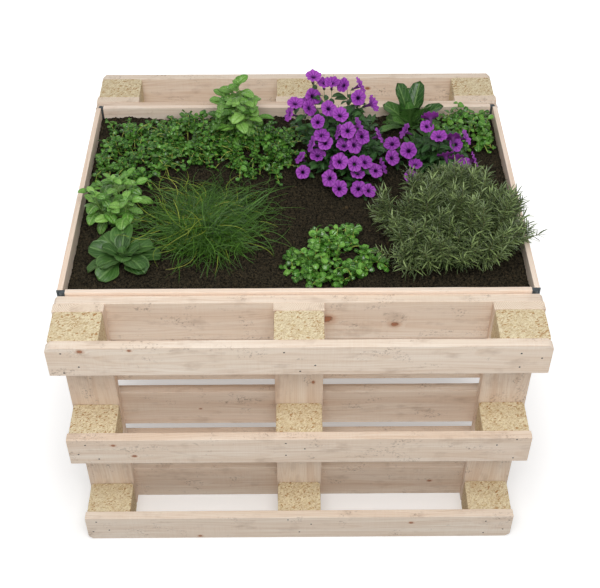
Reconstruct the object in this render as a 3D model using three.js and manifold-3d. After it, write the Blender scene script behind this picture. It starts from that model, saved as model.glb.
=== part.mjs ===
// Raised planter: two flat wooden pallets stand on their long edges and carry a hinged wooden
// collar box of soil and plants between them.
// Millimetres. +X runs along the pallets, +Y to the rear, +Z up. The origin is on the floor,
// under the middle of the planter.

import * as THREE from 'three';
import { mergeVertices } from 'three/addons/utils/BufferGeometryUtils.js';
import Module from 'manifold-3d';

const wasm = await Module();
wasm.setup();

// Pallet, standing on a long edge: its length lies along X and its width stands up along Z.
const PALLET_LENGTH = 1200;
const PALLET_HEIGHT = 800;
const RUNNER_THICKNESS = 25;
const RUNNER_WIDTH = 98;
const BLOCK_DEPTH = 96;
const BLOCK_LENGTH = 121;
const BLOCK_INSET = 4;
const BLOCK_CORNER_RADIUS = 10;
const CROSS_THICKNESS = 27;
const CROSS_WIDTH = 126;
const DECK_THICKNESS = 27;
const WIDE_DECK_BOARD = 131;
const NARROW_DECK_BOARD = 102;
const RUNNER_CORNER_CUT = 12;
const BOARD_CORNER_CUT = 8;

// Collar box between the pallets.
const INNER_DEPTH = 800;
const COLLAR_HALF_LENGTH = 595;
const COLLAR_THICKNESS = 14;
const COLLAR_HEIGHT = 200;
const COLLAR_RISE = 8;
const LONG_BOARD_HALF = 575;
const SHORT_BOARD_HALF = 385.5;
const SOIL_DROP = 40;

// Corner hinges of folded sheet steel, with their pin barrel in the open corner.
const SHEET = 2;
const HINGE_DROP = 2;
const BARREL_RADIUS = 6;
const BARREL_CENTRE = 7.5;
const LEAF_LENGTH = 76;
const LEAF_HEIGHT = 140;

// Floor of the box.
const PANEL_THICKNESS = 18;
const LEDGER_SIZE = 40;
const LEDGER_HALF_LENGTH = 590;

const DECK_FACE = INNER_DEPTH / 2;
const COLLAR_FACE = DECK_FACE - SHEET;
const COLLAR_TOP = PALLET_HEIGHT + COLLAR_RISE;
const COLLAR_BOTTOM = COLLAR_TOP - COLLAR_HEIGHT;
const SOIL_TOP = COLLAR_TOP - SOIL_DROP;
const PALLET_THICKNESS = RUNNER_THICKNESS + BLOCK_DEPTH + CROSS_THICKNESS + DECK_THICKNESS;
const OUTER_FACE = DECK_FACE + PALLET_THICKNESS;

const planter = new THREE.Group();

const finish = (colour, roughness, metalness = 0) =>
  () => new THREE.MeshStandardMaterial({ color: colour, roughness, metalness });

const paleWood = finish(0xdcc8b4, 0.75);
const chipboard = finish(0xcfb684, 0.85);
const collarWood = finish(0xe0cfbd, 0.7);
const darkSteel = finish(0x4b5052, 0.45, 0.9);
const plywood = finish(0xc2a57d, 0.75);
const darkSoil = finish(0x241c17, 0.95);
const greenLeaf = finish(0x3f7a2b, 0.6);
const palerGreenLeaf = finish(0x5d9a3c, 0.6);
const greyGreenLeaf = finish(0x5c7356, 0.7);
const purpleFlower = finish(0x7d3bb5, 0.6);

function add(name, geometry, material) {
  const mesh = new THREE.Mesh(geometry, material());
  mesh.name = name;
  planter.add(mesh);
}

// A board seen face on in the XZ plane, with its corner cuts, running from near to far along Y.
function board(x0, x1, z0, z1, near, far, lowerCut = 0, upperCut = 0) {
  const outline = new THREE.Shape();
  outline.moveTo(x0 + lowerCut, z0);
  outline.lineTo(x1 - lowerCut, z0);
  if (lowerCut) outline.lineTo(x1, z0 + lowerCut);
  outline.lineTo(x1, z1 - upperCut);
  if (upperCut) outline.lineTo(x1 - upperCut, z1);
  outline.lineTo(x0 + upperCut, z1);
  if (upperCut) outline.lineTo(x0, z1 - upperCut);
  outline.lineTo(x0, z0 + lowerCut);
  const geometry = new THREE.ExtrudeGeometry(outline, { depth: far - near, bevelEnabled: false });
  geometry.rotateX(Math.PI / 2);
  geometry.translate(0, far, 0);
  return geometry;
}

// A shape drawn in plan and extruded upwards from z0 to z1.
function prism(outline, z0, z1, curveSegments = 6) {
  const settings = { depth: z1 - z0, bevelEnabled: false, curveSegments };
  const geometry = new THREE.ExtrudeGeometry(outline, settings);
  geometry.translate(0, 0, z0);
  return geometry;
}

// Distances measured inwards from a pallet's outer face become a Y range on either side.
function depthRange(side, from, to) {
  const a = side * (OUTER_FACE - from);
  const b = side * (OUTER_FACE - to);
  return [Math.min(a, b), Math.max(a, b)];
}

function toSolid(geometry) {
  const bare = geometry.clone();
  bare.deleteAttribute('normal');
  bare.deleteAttribute('uv');
  const merged = mergeVertices(bare);
  const vertProperties = new Float32Array(merged.attributes.position.array);
  const triVerts = new Uint32Array(merged.index.array);
  return new wasm.Manifold(new wasm.Mesh({ numProp: 3, vertProperties, triVerts }));
}

function join(geometries) {
  const whole = geometries.map(toSolid).reduce((sum, piece) => sum.add(piece));
  const { vertProperties, triVerts } = whole.getMesh();
  const geometry = new THREE.BufferGeometry();
  geometry.setAttribute('position', new THREE.BufferAttribute(vertProperties, 3));
  geometry.setIndex(new THREE.BufferAttribute(triVerts, 1));
  geometry.computeVertexNormals();
  return geometry;
}

// Pallets -------------------------------------------------------------------------------------

const columns = [
  ['left', -1],
  ['centre', 0],
  ['right', 1],
];
const rows = [
  ['bottom', 0],
  ['middle', 353],
  ['top', PALLET_HEIGHT - RUNNER_WIDTH],
];

// Five deck boards, wide and narrow in turn, with four equal gaps between them.
function deckBoards() {
  const widths = [0, 1, 2, 3, 4].map((i) => (i % 2 ? NARROW_DECK_BOARD : WIDE_DECK_BOARD));
  const wood = widths.reduce((sum, width) => sum + width, 0);
  const gap = (PALLET_HEIGHT - wood) / (widths.length - 1);
  let z = 0;
  return widths.map((width) => {
    const range = [z, z + width];
    z += width + gap;
    return range;
  });
}

// A block in plan. Its two corners on the +Y side are rounded.
function blockOutline(x0, x1, near, far) {
  const r = BLOCK_CORNER_RADIUS;
  const outline = new THREE.Shape();
  outline.moveTo(x0, near);
  outline.lineTo(x1, near);
  outline.absarc(x1 - r, far - r, r, 0, Math.PI / 2, false);
  outline.absarc(x0 + r, far - r, r, Math.PI / 2, Math.PI, false);
  return outline;
}

function addPallet(label, side) {
  const halfLength = PALLET_LENGTH / 2;
  const behindRunner = RUNNER_THICKNESS;
  const behindBlock = behindRunner + BLOCK_DEPTH;
  const behindCross = behindBlock + CROSS_THICKNESS;
  const [runnerNear, runnerFar] = depthRange(side, 0, behindRunner);
  const [blockNear, blockFar] = depthRange(side, behindRunner, behindBlock);
  const [crossNear, crossFar] = depthRange(side, behindBlock, behindCross);
  const [deckNear, deckFar] = depthRange(side, behindCross, PALLET_THICKNESS);

  for (const [row, z] of rows) {
    const lower = row === 'bottom' ? RUNNER_CORNER_CUT : 0;
    const upper = row === 'top' ? RUNNER_CORNER_CUT : 0;
    const top = z + RUNNER_WIDTH;
    const runner = board(-halfLength, halfLength, z, top, runnerNear, runnerFar, lower, upper);
    add(`${label}_runner_${row}`, runner, paleWood);
    for (const [column, place] of columns) {
      const centre = place * (halfLength - BLOCK_INSET - BLOCK_LENGTH / 2);
      const x0 = centre - BLOCK_LENGTH / 2;
      const outline = blockOutline(x0, x0 + BLOCK_LENGTH, blockNear, blockFar);
      add(`${label}_block_${row}_${column}`, prism(outline, z, top), chipboard);
    }
  }

  for (const [column, place] of columns) {
    const centre = place * (halfLength - CROSS_WIDTH / 2);
    const x0 = centre - CROSS_WIDTH / 2;
    const cross = board(x0, x0 + CROSS_WIDTH, 0, PALLET_HEIGHT, crossNear, crossFar);
    add(`${label}_cross_board_${column}`, cross, paleWood);
  }

  deckBoards().forEach(([z0, z1], i) => {
    const lower = i === 0 ? BOARD_CORNER_CUT : 0;
    const upper = i === 4 ? BOARD_CORNER_CUT : 0;
    const deck = board(-halfLength, halfLength, z0, z1, deckNear, deckFar, lower, upper);
    add(`${label}_deck_board_${i + 1}`, deck, paleWood);
  });
}

addPallet('front', -1);
addPallet('rear', 1);

// Collar --------------------------------------------------------------------------------------

const collarInner = COLLAR_FACE - COLLAR_THICKNESS;
const sideInner = COLLAR_HALF_LENGTH - COLLAR_THICKNESS;

for (const [label, side] of [['front', -1], ['rear', 1]]) {
  const near = Math.min(side * COLLAR_FACE, side * collarInner);
  const geometry = board(
    -LONG_BOARD_HALF, LONG_BOARD_HALF, COLLAR_BOTTOM, COLLAR_TOP, near, near + COLLAR_THICKNESS,
  );
  add(`collar_board_${label}`, geometry, collarWood);
}

for (const [label, side] of [['left', -1], ['right', 1]]) {
  const x0 = Math.min(side * COLLAR_HALF_LENGTH, side * sideInner);
  const geometry = board(
    x0, x0 + COLLAR_THICKNESS, COLLAR_BOTTOM, COLLAR_TOP, -SHORT_BOARD_HALF, SHORT_BOARD_HALF,
  );
  add(`collar_board_${label}`, geometry, collarWood);
}

// One hinge seen in plan, from the point where the planes of the two board ends meet. A strip
// caps each board end, and the pin barrel stands in the angle between them.
function hingeOutline(reachX, reachY) {
  const c = BARREL_CENTRE;
  const start = Math.asin((SHEET - c) / BARREL_RADIUS);
  const end = Math.PI / 2 - start;
  const outline = new THREE.Shape();
  outline.moveTo(0, 0);
  outline.lineTo(reachX, 0);
  outline.lineTo(reachX, SHEET);
  outline.absarc(c, c, BARREL_RADIUS, start, end, false);
  outline.lineTo(SHEET, reachY);
  outline.lineTo(0, reachY);
  return outline;
}

function hinge() {
  const reachX = COLLAR_HALF_LENGTH + SHEET - LONG_BOARD_HALF;
  const reachY = DECK_FACE - SHORT_BOARD_HALF;
  const corner = prism(
    hingeOutline(reachX, reachY), COLLAR_BOTTOM, COLLAR_TOP - HINGE_DROP, 9,
  );
  corner.translate(LONG_BOARD_HALF, SHORT_BOARD_HALF, 0);
  const leafBottom = COLLAR_BOTTOM + (COLLAR_HEIGHT - LEAF_HEIGHT) / 2;
  const leafTop = leafBottom + LEAF_HEIGHT;
  const longLeaf = board(
    LONG_BOARD_HALF - LEAF_LENGTH, LONG_BOARD_HALF + SHEET / 2, leafBottom, leafTop,
    COLLAR_FACE, DECK_FACE,
  );
  const shortLeaf = board(
    COLLAR_HALF_LENGTH, COLLAR_HALF_LENGTH + SHEET, leafBottom, leafTop,
    SHORT_BOARD_HALF - LEAF_LENGTH, SHORT_BOARD_HALF + SHEET / 2,
  );
  return join([corner, longLeaf, shortLeaf]);
}

// Mirroring turns a solid inside out, so its triangles are turned back.
function mirrored(geometry, signX, signY) {
  geometry.scale(signX, signY, 1);
  if (signX * signY < 0) {
    const index = geometry.index.array;
    for (let i = 0; i < index.length; i += 3) {
      [index[i + 1], index[i + 2]] = [index[i + 2], index[i + 1]];
    }
  }
  geometry.computeVertexNormals();
  return geometry;
}

for (const [rowLabel, signY] of [['front', -1], ['rear', 1]]) {
  for (const [columnLabel, signX] of [['left', -1], ['right', 1]]) {
    add(`collar_hinge_${rowLabel}_${columnLabel}`, mirrored(hinge(), signX, signY), darkSteel);
  }
}

// Floor of the box ----------------------------------------------------------------------------

for (const [label, side] of [['front', -1], ['rear', 1]]) {
  const near = Math.min(side * DECK_FACE, side * (DECK_FACE - LEDGER_SIZE));
  const geometry = board(
    -LEDGER_HALF_LENGTH, LEDGER_HALF_LENGTH, COLLAR_BOTTOM - LEDGER_SIZE, COLLAR_BOTTOM,
    near, near + LEDGER_SIZE,
  );
  add(`ledger_${label}`, geometry, paleWood);
}

const panelTop = COLLAR_BOTTOM + PANEL_THICKNESS;
add(
  'floor_panel',
  board(-sideInner, sideInner, COLLAR_BOTTOM, panelTop, -collarInner, collarInner),
  plywood,
);
add('soil', board(-sideInner, sideInner, panelTop, SOIL_TOP, -collarInner, collarInner), darkSoil);

// Plants, each a plain rounded mound standing on the soil ---------------------------------------

const MOUND_PROFILE = [
  [0, 0], [0.8, 0], [0.97, 0.2], [1, 0.45], [0.88, 0.72], [0.55, 0.93], [0, 1],
];

function mound({ x, y, halfX, halfY, height, sides = 20 }) {
  const points = MOUND_PROFILE.map(([radius, z]) => new THREE.Vector2(radius, z));
  const geometry = new THREE.LatheGeometry(points, sides);
  geometry.rotateX(Math.PI / 2);
  geometry.scale(halfX, halfY, height);
  geometry.translate(x, y, SOIL_TOP);
  return geometry;
}

const plants = {
  basil_left: [greenLeaf, { x: -480, y: -35, halfX: 85, halfY: 75, height: 185 }],
  broad_leaf_left: [greenLeaf, { x: -462, y: -215, halfX: 76, halfY: 80, height: 90 }],
  herb_mat_back: [
    palerGreenLeaf,
    { x: -470, y: 215, halfX: 105, halfY: 130, height: 65 },
    { x: -305, y: 270, halfX: 110, halfY: 100, height: 65 },
    { x: -170, y: 310, halfX: 80, halfY: 65, height: 180 },
    { x: -105, y: 195, halfX: 90, halfY: 115, height: 65 },
  ],
  grass_tuft: [greenLeaf, { x: -235, y: -130, halfX: 150, halfY: 130, height: 205 }],
  petunias: [
    purpleFlower,
    { x: 130, y: 150, halfX: 140, halfY: 120, height: 250 },
    { x: 370, y: 150, halfX: 120, halfY: 80, height: 170 },
  ],
  herb_back_right: [
    greenLeaf,
    { x: 335, y: 332, halfX: 80, halfY: 48, height: 150 },
    { x: 490, y: 305, halfX: 85, halfY: 70, height: 60 },
  ],
  herb_front: [palerGreenLeaf, { x: 85, y: -255, halfX: 115, halfY: 95, height: 75 }],
  rosemary: [greyGreenLeaf, { x: 392, y: -215, halfX: 183, halfY: 140, height: 235 }],
};

for (const [name, [material, ...mounds]] of Object.entries(plants)) {
  add(name, mounds.length > 1 ? join(mounds.map(mound)) : mound(mounds[0]), material);
}

export default planter;
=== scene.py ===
"""Raised planter: two pallets on their long edges carry a hinged wooden collar of soil and plants.

Metres, in the row frame: +X along the pallets, +Y to the rear, +Z up. Every place comes from the
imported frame's boxes. Boards and blocks are rebuilt with rounded, slightly worn edges; the plants
are rebuilt leaf by leaf."""

import functools
import math

import bpy
import numpy as np
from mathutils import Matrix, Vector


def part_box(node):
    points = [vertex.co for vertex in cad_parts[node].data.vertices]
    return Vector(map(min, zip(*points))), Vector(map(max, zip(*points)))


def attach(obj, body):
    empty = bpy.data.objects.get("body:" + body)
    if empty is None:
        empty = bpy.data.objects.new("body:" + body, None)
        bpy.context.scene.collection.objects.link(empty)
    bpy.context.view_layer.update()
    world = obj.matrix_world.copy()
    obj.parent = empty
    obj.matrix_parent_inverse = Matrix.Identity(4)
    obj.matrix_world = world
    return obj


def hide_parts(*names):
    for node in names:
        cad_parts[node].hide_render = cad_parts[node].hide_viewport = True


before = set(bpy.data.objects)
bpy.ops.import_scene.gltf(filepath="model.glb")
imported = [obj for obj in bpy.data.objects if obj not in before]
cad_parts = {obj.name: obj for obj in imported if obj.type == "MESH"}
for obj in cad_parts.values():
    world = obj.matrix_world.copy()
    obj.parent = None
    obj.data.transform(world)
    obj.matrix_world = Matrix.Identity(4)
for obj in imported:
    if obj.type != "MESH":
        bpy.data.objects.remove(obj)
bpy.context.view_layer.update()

MM = 0.001


# Colour and node helpers ---------------------------------------------------------------------


def srgb(red, green, blue):
    """An 8-bit display colour as the linear RGBA that shader sockets take."""
    channels = [value / 255 for value in (red, green, blue)]
    linear = [c / 12.92 if c <= 0.04045 else ((c + 0.055) / 1.055) ** 2.4 for c in channels]
    return (*linear, 1.0)


class Value:
    """One output of a shader node. Arithmetic on it adds Math nodes."""

    def __init__(self, shader, socket):
        self.shader, self.socket = shader, socket

    def __add__(self, other):
        return self.shader.math("ADD", self, other)

    def __sub__(self, other):
        return self.shader.math("SUBTRACT", self, other)

    def __mul__(self, other):
        return self.shader.math("MULTIPLY", self, other)

    def __truediv__(self, other):
        return self.shader.math("DIVIDE", self, other)

    def __abs__(self):
        return self.shader.math("ABSOLUTE", self)


class Shader:
    """A Principled material, with short calls for the nodes that feed it."""

    def __init__(self, name):
        self.material = bpy.data.materials.new(name)
        self.material.use_nodes = True
        self.tree = self.material.node_tree
        self.tree.nodes.clear()
        output = self.tree.nodes.new("ShaderNodeOutputMaterial")
        self.surface = self.tree.nodes.new("ShaderNodeBsdfPrincipled")
        self.tree.links.new(self.surface.outputs[0], output.inputs["Surface"])

    def put(self, value, socket):
        if isinstance(value, Value):
            self.tree.links.new(value.socket, socket)
        else:
            socket.default_value = value

    def node(self, kind, inputs=(), output=0, **settings):
        """Adds a node and gives one of its outputs, or all of them when output is None."""
        made = self.tree.nodes.new(kind)
        for name, value in settings.items():
            setattr(made, name, value)
        for name, value in dict(inputs).items():
            self.put(value, made.inputs[name])
        if output is None:
            return [Value(self, socket) for socket in made.outputs]
        return Value(self, made.outputs[output])

    def math(self, operation, a, b=0.0, clamp=False):
        return self.node("ShaderNodeMath", {0: a, 1: b}, operation=operation, use_clamp=clamp)

    def larger(self, a, b):
        return self.math("MAXIMUM", a, b)

    def sine(self, value):
        return self.math("SINE", value)

    def length(self, x, y):
        return self.math("SQRT", x * x + y * y)

    def vector(self, operation, a, b):
        return self.node("ShaderNodeVectorMath", {0: a, 1: b}, operation=operation)

    def attribute(self, name, output="Vector"):
        return self.node("ShaderNodeAttribute", output=output, attribute_name=name)

    def place(self):
        return self.node("ShaderNodeTexCoord", output="Object")

    def split(self, vector):
        return self.node("ShaderNodeSeparateXYZ", {0: vector}, None)

    def merge(self, x, y, z):
        return self.node("ShaderNodeCombineXYZ", {0: x, 1: y, 2: z})

    def stretched(self, vector, stretch):
        """A texture's coordinates, scaled by one number or by one for each axis."""
        if isinstance(stretch, (int, float)):
            stretch = (stretch, stretch, stretch)
        return self.vector("MULTIPLY", vector, stretch)

    def noise(self, vector, stretch, detail, roughness=0.5, output=0):
        inputs = {"Vector": self.stretched(vector, stretch), "Scale": 1.0, "Detail": detail}
        return self.node("ShaderNodeTexNoise", {**inputs, "Roughness": roughness}, output)

    def bent(self, place, stretch, reach):
        """Coordinates pushed about by a soft noise, so that what they carry isn't straight."""
        push = self.vector("SUBTRACT", self.noise(place, stretch, 2, output="Color"), (0.5, 0.5, 0.5))
        return self.vector("ADD", place, self.vector("MULTIPLY", push, reach))

    def voronoi(self, vector, stretch):
        """A cell pattern: the distance from each cell's middle and a random colour for each cell."""
        inputs = {"Vector": self.stretched(vector, stretch), "Scale": 1.0}
        distance, colour, *_ = self.node("ShaderNodeTexVoronoi", inputs, None)
        return distance, colour

    def fit(self, value, low, high, to_low=0.0, to_high=1.0, smooth=False):
        kind = "SMOOTHSTEP" if smooth else "LINEAR"
        inputs = {0: value, 1: low, 2: high, 3: to_low, 4: to_high}
        return self.node("ShaderNodeMapRange", inputs, interpolation_type=kind)

    def mix(self, share, a, b):
        return self.node("ShaderNodeMix", {"Factor": share, 6: a, 7: b}, 2, data_type="RGBA")

    def finish(self, colour, height=None, distance=0.0, strength=1.0, **values):
        """Sets the surface's colour, its bumps and its other values, and gives the material."""
        values["base_color"] = colour
        if height is not None:
            inputs = {"Height": height, "Distance": distance, "Strength": strength}
            values["normal"] = self.node("ShaderNodeBump", inputs)
        for name, value in values.items():
            self.put(value, self.surface.inputs[name.replace("_", " ").title().replace("Ior", "IOR")])
        return self.material


# Mesh helpers --------------------------------------------------------------------------------


def make_object(name, points, faces, material, attributes=(), smooth=True):
    """A mesh object from numpy points and a list of face index arrays, one array per face size."""
    groups = [np.asarray(group, np.int32) for group in faces if len(group)]
    corners = np.concatenate([group.ravel() for group in groups])
    counts = np.concatenate([np.full(len(group), group.shape[1]) for group in groups])
    starts = np.concatenate([[0], np.cumsum(counts)[:-1]]).astype(np.int32)
    mesh = bpy.data.meshes.new(name)
    mesh.vertices.add(len(points))
    mesh.vertices.foreach_set("co", np.asarray(points, np.float32).ravel())
    mesh.loops.add(len(corners))
    mesh.loops.foreach_set("vertex_index", corners)
    mesh.polygons.add(len(counts))
    mesh.polygons.foreach_set("loop_start", starts)
    mesh.update(calc_edges=True)
    for key, values in dict(attributes).items():
        values = np.asarray(values, np.float32)
        kind = "FLOAT" if values.ndim == 1 else "FLOAT_VECTOR"
        layer = mesh.attributes.new(key, kind, "POINT")
        layer.data.foreach_set("value" if kind == "FLOAT" else "vector", values.ravel())
    if smooth:
        mesh.shade_smooth()
    mesh.materials.append(material)
    made = bpy.data.objects.new(name, mesh)
    bpy.context.scene.collection.objects.link(made)
    return made


def place_piece(piece, slot_name, *nodes):
    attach(piece, "root")
    if nodes:
        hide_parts(*nodes)
    return piece


def weighted_normals(piece):
    modifier = piece.modifiers.new("normals", "WEIGHTED_NORMAL")
    modifier.keep_sharp = True


def corners_of(node):
    low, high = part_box(node)
    return np.array(low), np.array(high)


def waves(rng, terms, shortest, longest):
    """A smooth random function of one length: a sum of sines, scaled to about -1..1."""
    lengths = rng.uniform(shortest, longest, terms)
    phases = rng.uniform(0, 2 * math.pi, terms)
    sizes = rng.uniform(0.4, 1, terms)
    sizes /= sizes.sum()

    def value(s):
        s = np.asarray(s, float)[..., None]
        return (sizes * np.sin(2 * math.pi * s / lengths + phases)).sum(-1)

    return value


def tube_faces(rings, ring_size):
    """Quads that join each ring of points to the next."""
    start = np.arange(rings - 1)[:, None] * ring_size
    here = np.arange(ring_size)[None, :]
    ahead = (here + 1) % ring_size
    quads = np.stack(
        [start + here, start + ahead, start + ring_size + ahead, start + ring_size + here], -1
    )
    return quads.reshape(-1, 4)


# Boards --------------------------------------------------------------------------------------

# The turns at which the four corners of an outline start, from its right front corner.
QUARTER_TURNS = np.array([-1, 0, 1, 2]) * math.pi / 2
KNOTS = 3
EDGE_RADIUS = 1.5 * MM
STATION_STEP = 12 * MM
RUNNER_CORNER_CUT = 12 * MM
DECK_CORNER_CUT = 8 * MM


def rounded_outline(corners, straight_points):
    """Points around a shape with round corners, and as many on each straight stretch as asked.

    A corner is its centre, its radius, the turn it starts at and its number of points."""
    points = []
    for i, (x, y, radius, turn, count) in enumerate(corners):
        for angle in turn + np.linspace(0, math.pi / 2, count):
            points.append((x + radius * math.cos(angle), y + radius * math.sin(angle)))
        x, y, radius, turn, _ = corners[(i + 1) % len(corners)]
        last = np.array(points[-1])
        ahead = np.array((x + radius * math.cos(turn), y + radius * math.sin(turn))) - last
        steps = straight_points[i] + 1
        points += [tuple(last + ahead * k / steps) for k in range(1, steps)]
    return np.array(points)


def board(node, seed, material, slot_name, low_cut=0.0, high_cut=0.0, knots=(), wobble=0.5, brown_and_shade=0.2):
    rng = np.random.default_rng(seed)
    low, high = corners_of(node)
    size = high - low
    along = int(np.argmax(size))
    thin = int(np.argmin(size))
    wide = 3 - along - thin
    length, width, thickness = size[along], size[wide], size[thin]
    ends = [0, 0.25, 0.7, 1.3, 2.2, 6]
    if low_cut or high_cut:
        ends.append(max(low_cut, high_cut) / MM)
    near = np.array(ends) * MM
    middle_count = int((length - 2 * near[-1]) / STATION_STEP)
    middle = np.linspace(near[-1], length - near[-1], middle_count + 1)[1:-1]
    stations = np.concatenate([near, middle, (length - near)[::-1]])
    bow = waves(rng, 3, 0.35, 1.1)
    edge_low, edge_high = waves(rng, 6, 0.03, 0.5), waves(rng, 6, 0.03, 0.5)
    wear, _ = waves(rng, 5, 0.02, 0.25), waves(rng, 5, 0.02, 0.25)
    sections = []
    for s in stations:
        inside = min(s, length - s)
        gap = EDGE_RADIUS - inside
        inset = EDGE_RADIUS - math.sqrt(max(EDGE_RADIUS**2 - gap**2, 0)) if gap > 0 else 0.0
        radius = EDGE_RADIUS * (1 + 0.45 * float(wear(s)))
        w_low = max(low_cut - inside, 0) + inset + wobble * MM * 0.5 * (1 + float(edge_low(s)))
        w_high = width - max(high_cut - inside, 0) - inset - wobble * MM * 0.5 * (1 + float(edge_high(s)))
        w_near, w_far = w_low + radius, w_high - radius
        t_near, t_far = inset + radius, thickness - inset - radius
        corners = [(w_far, t_near), (w_far, t_far), (w_near, t_far), (w_near, t_near)]
        corners = [(*corner, radius, turn, 4) for corner, turn in zip(corners, QUARTER_TURNS)]
        section = rounded_outline(corners, (2, 8, 2, 8))
        cup = 0.25 * wobble * MM * float(bow(s))
        section[:, 1] = np.clip(section[:, 1] + cup, 0.05 * MM, thickness - 0.05 * MM)
        sections.append(section)
    sections = np.array(sections)
    rings, ring_size = sections.shape[:2]
    place = np.zeros((rings, ring_size, 3))
    place[..., 0] = stations[:, None]
    place[..., 1:] = sections
    place = place.reshape(-1, 3)
    points = np.zeros_like(place)
    points[:, along] = low[along] + place[:, 0]
    points[:, wide] = low[wide] + place[:, 1]
    points[:, thin] = low[thin] + place[:, 2]
    quads = tube_faces(rings, ring_size)
    caps = [np.arange(ring_size)[::-1], (rings - 1) * ring_size + np.arange(ring_size)]
    order = np.zeros((3, 3))
    order[0, along] = order[1, wide] = order[2, thin] = 1
    if np.linalg.det(order) < 0:
        quads = quads[:, ::-1]
        caps = [cap[::-1] for cap in caps]
    end = np.zeros((rings, ring_size))
    end[0] = end[-1] = 1
    count = len(points)
    pith_side = rng.choice([-1, 1])
    pith = (width * rng.uniform(0.1, 0.9), thickness / 2 + pith_side * rng.uniform(22, 75) * MM)
    # The third tone is the board's brown: partly the wood's own tone, partly painted shade on the boards that
    # stand back in the recesses.
    tone = (*rng.uniform(0, 1, 2), np.clip(brown_and_shade + rng.uniform(-0.15, 0.15), 0, 1))
    attributes = {
        "place": place,
        "end": end.ravel(),
        "pith": np.tile([rng.uniform(0, 40), *pith], (count, 1)),
        "tone": np.tile(tone, (count, 1)),
    }
    chosen = list(knots)
    while len(chosen) < KNOTS:
        chosen.append((rng.uniform(0.08, 0.92) * length, rng.uniform(0.1, 0.9) * width,
                       rng.choice([0.0, 0.0, 0.0, 2.2, 3.4]) * MM))
    for i, knot in enumerate(chosen[:KNOTS]):
        attributes[f"knot{i + 1}"] = np.tile(knot, (count, 1))
    piece = make_object(f"{node}_wood", points, [quads, caps], material, attributes)
    weighted_normals(piece)
    return place_piece(piece, slot_name, node)


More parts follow.
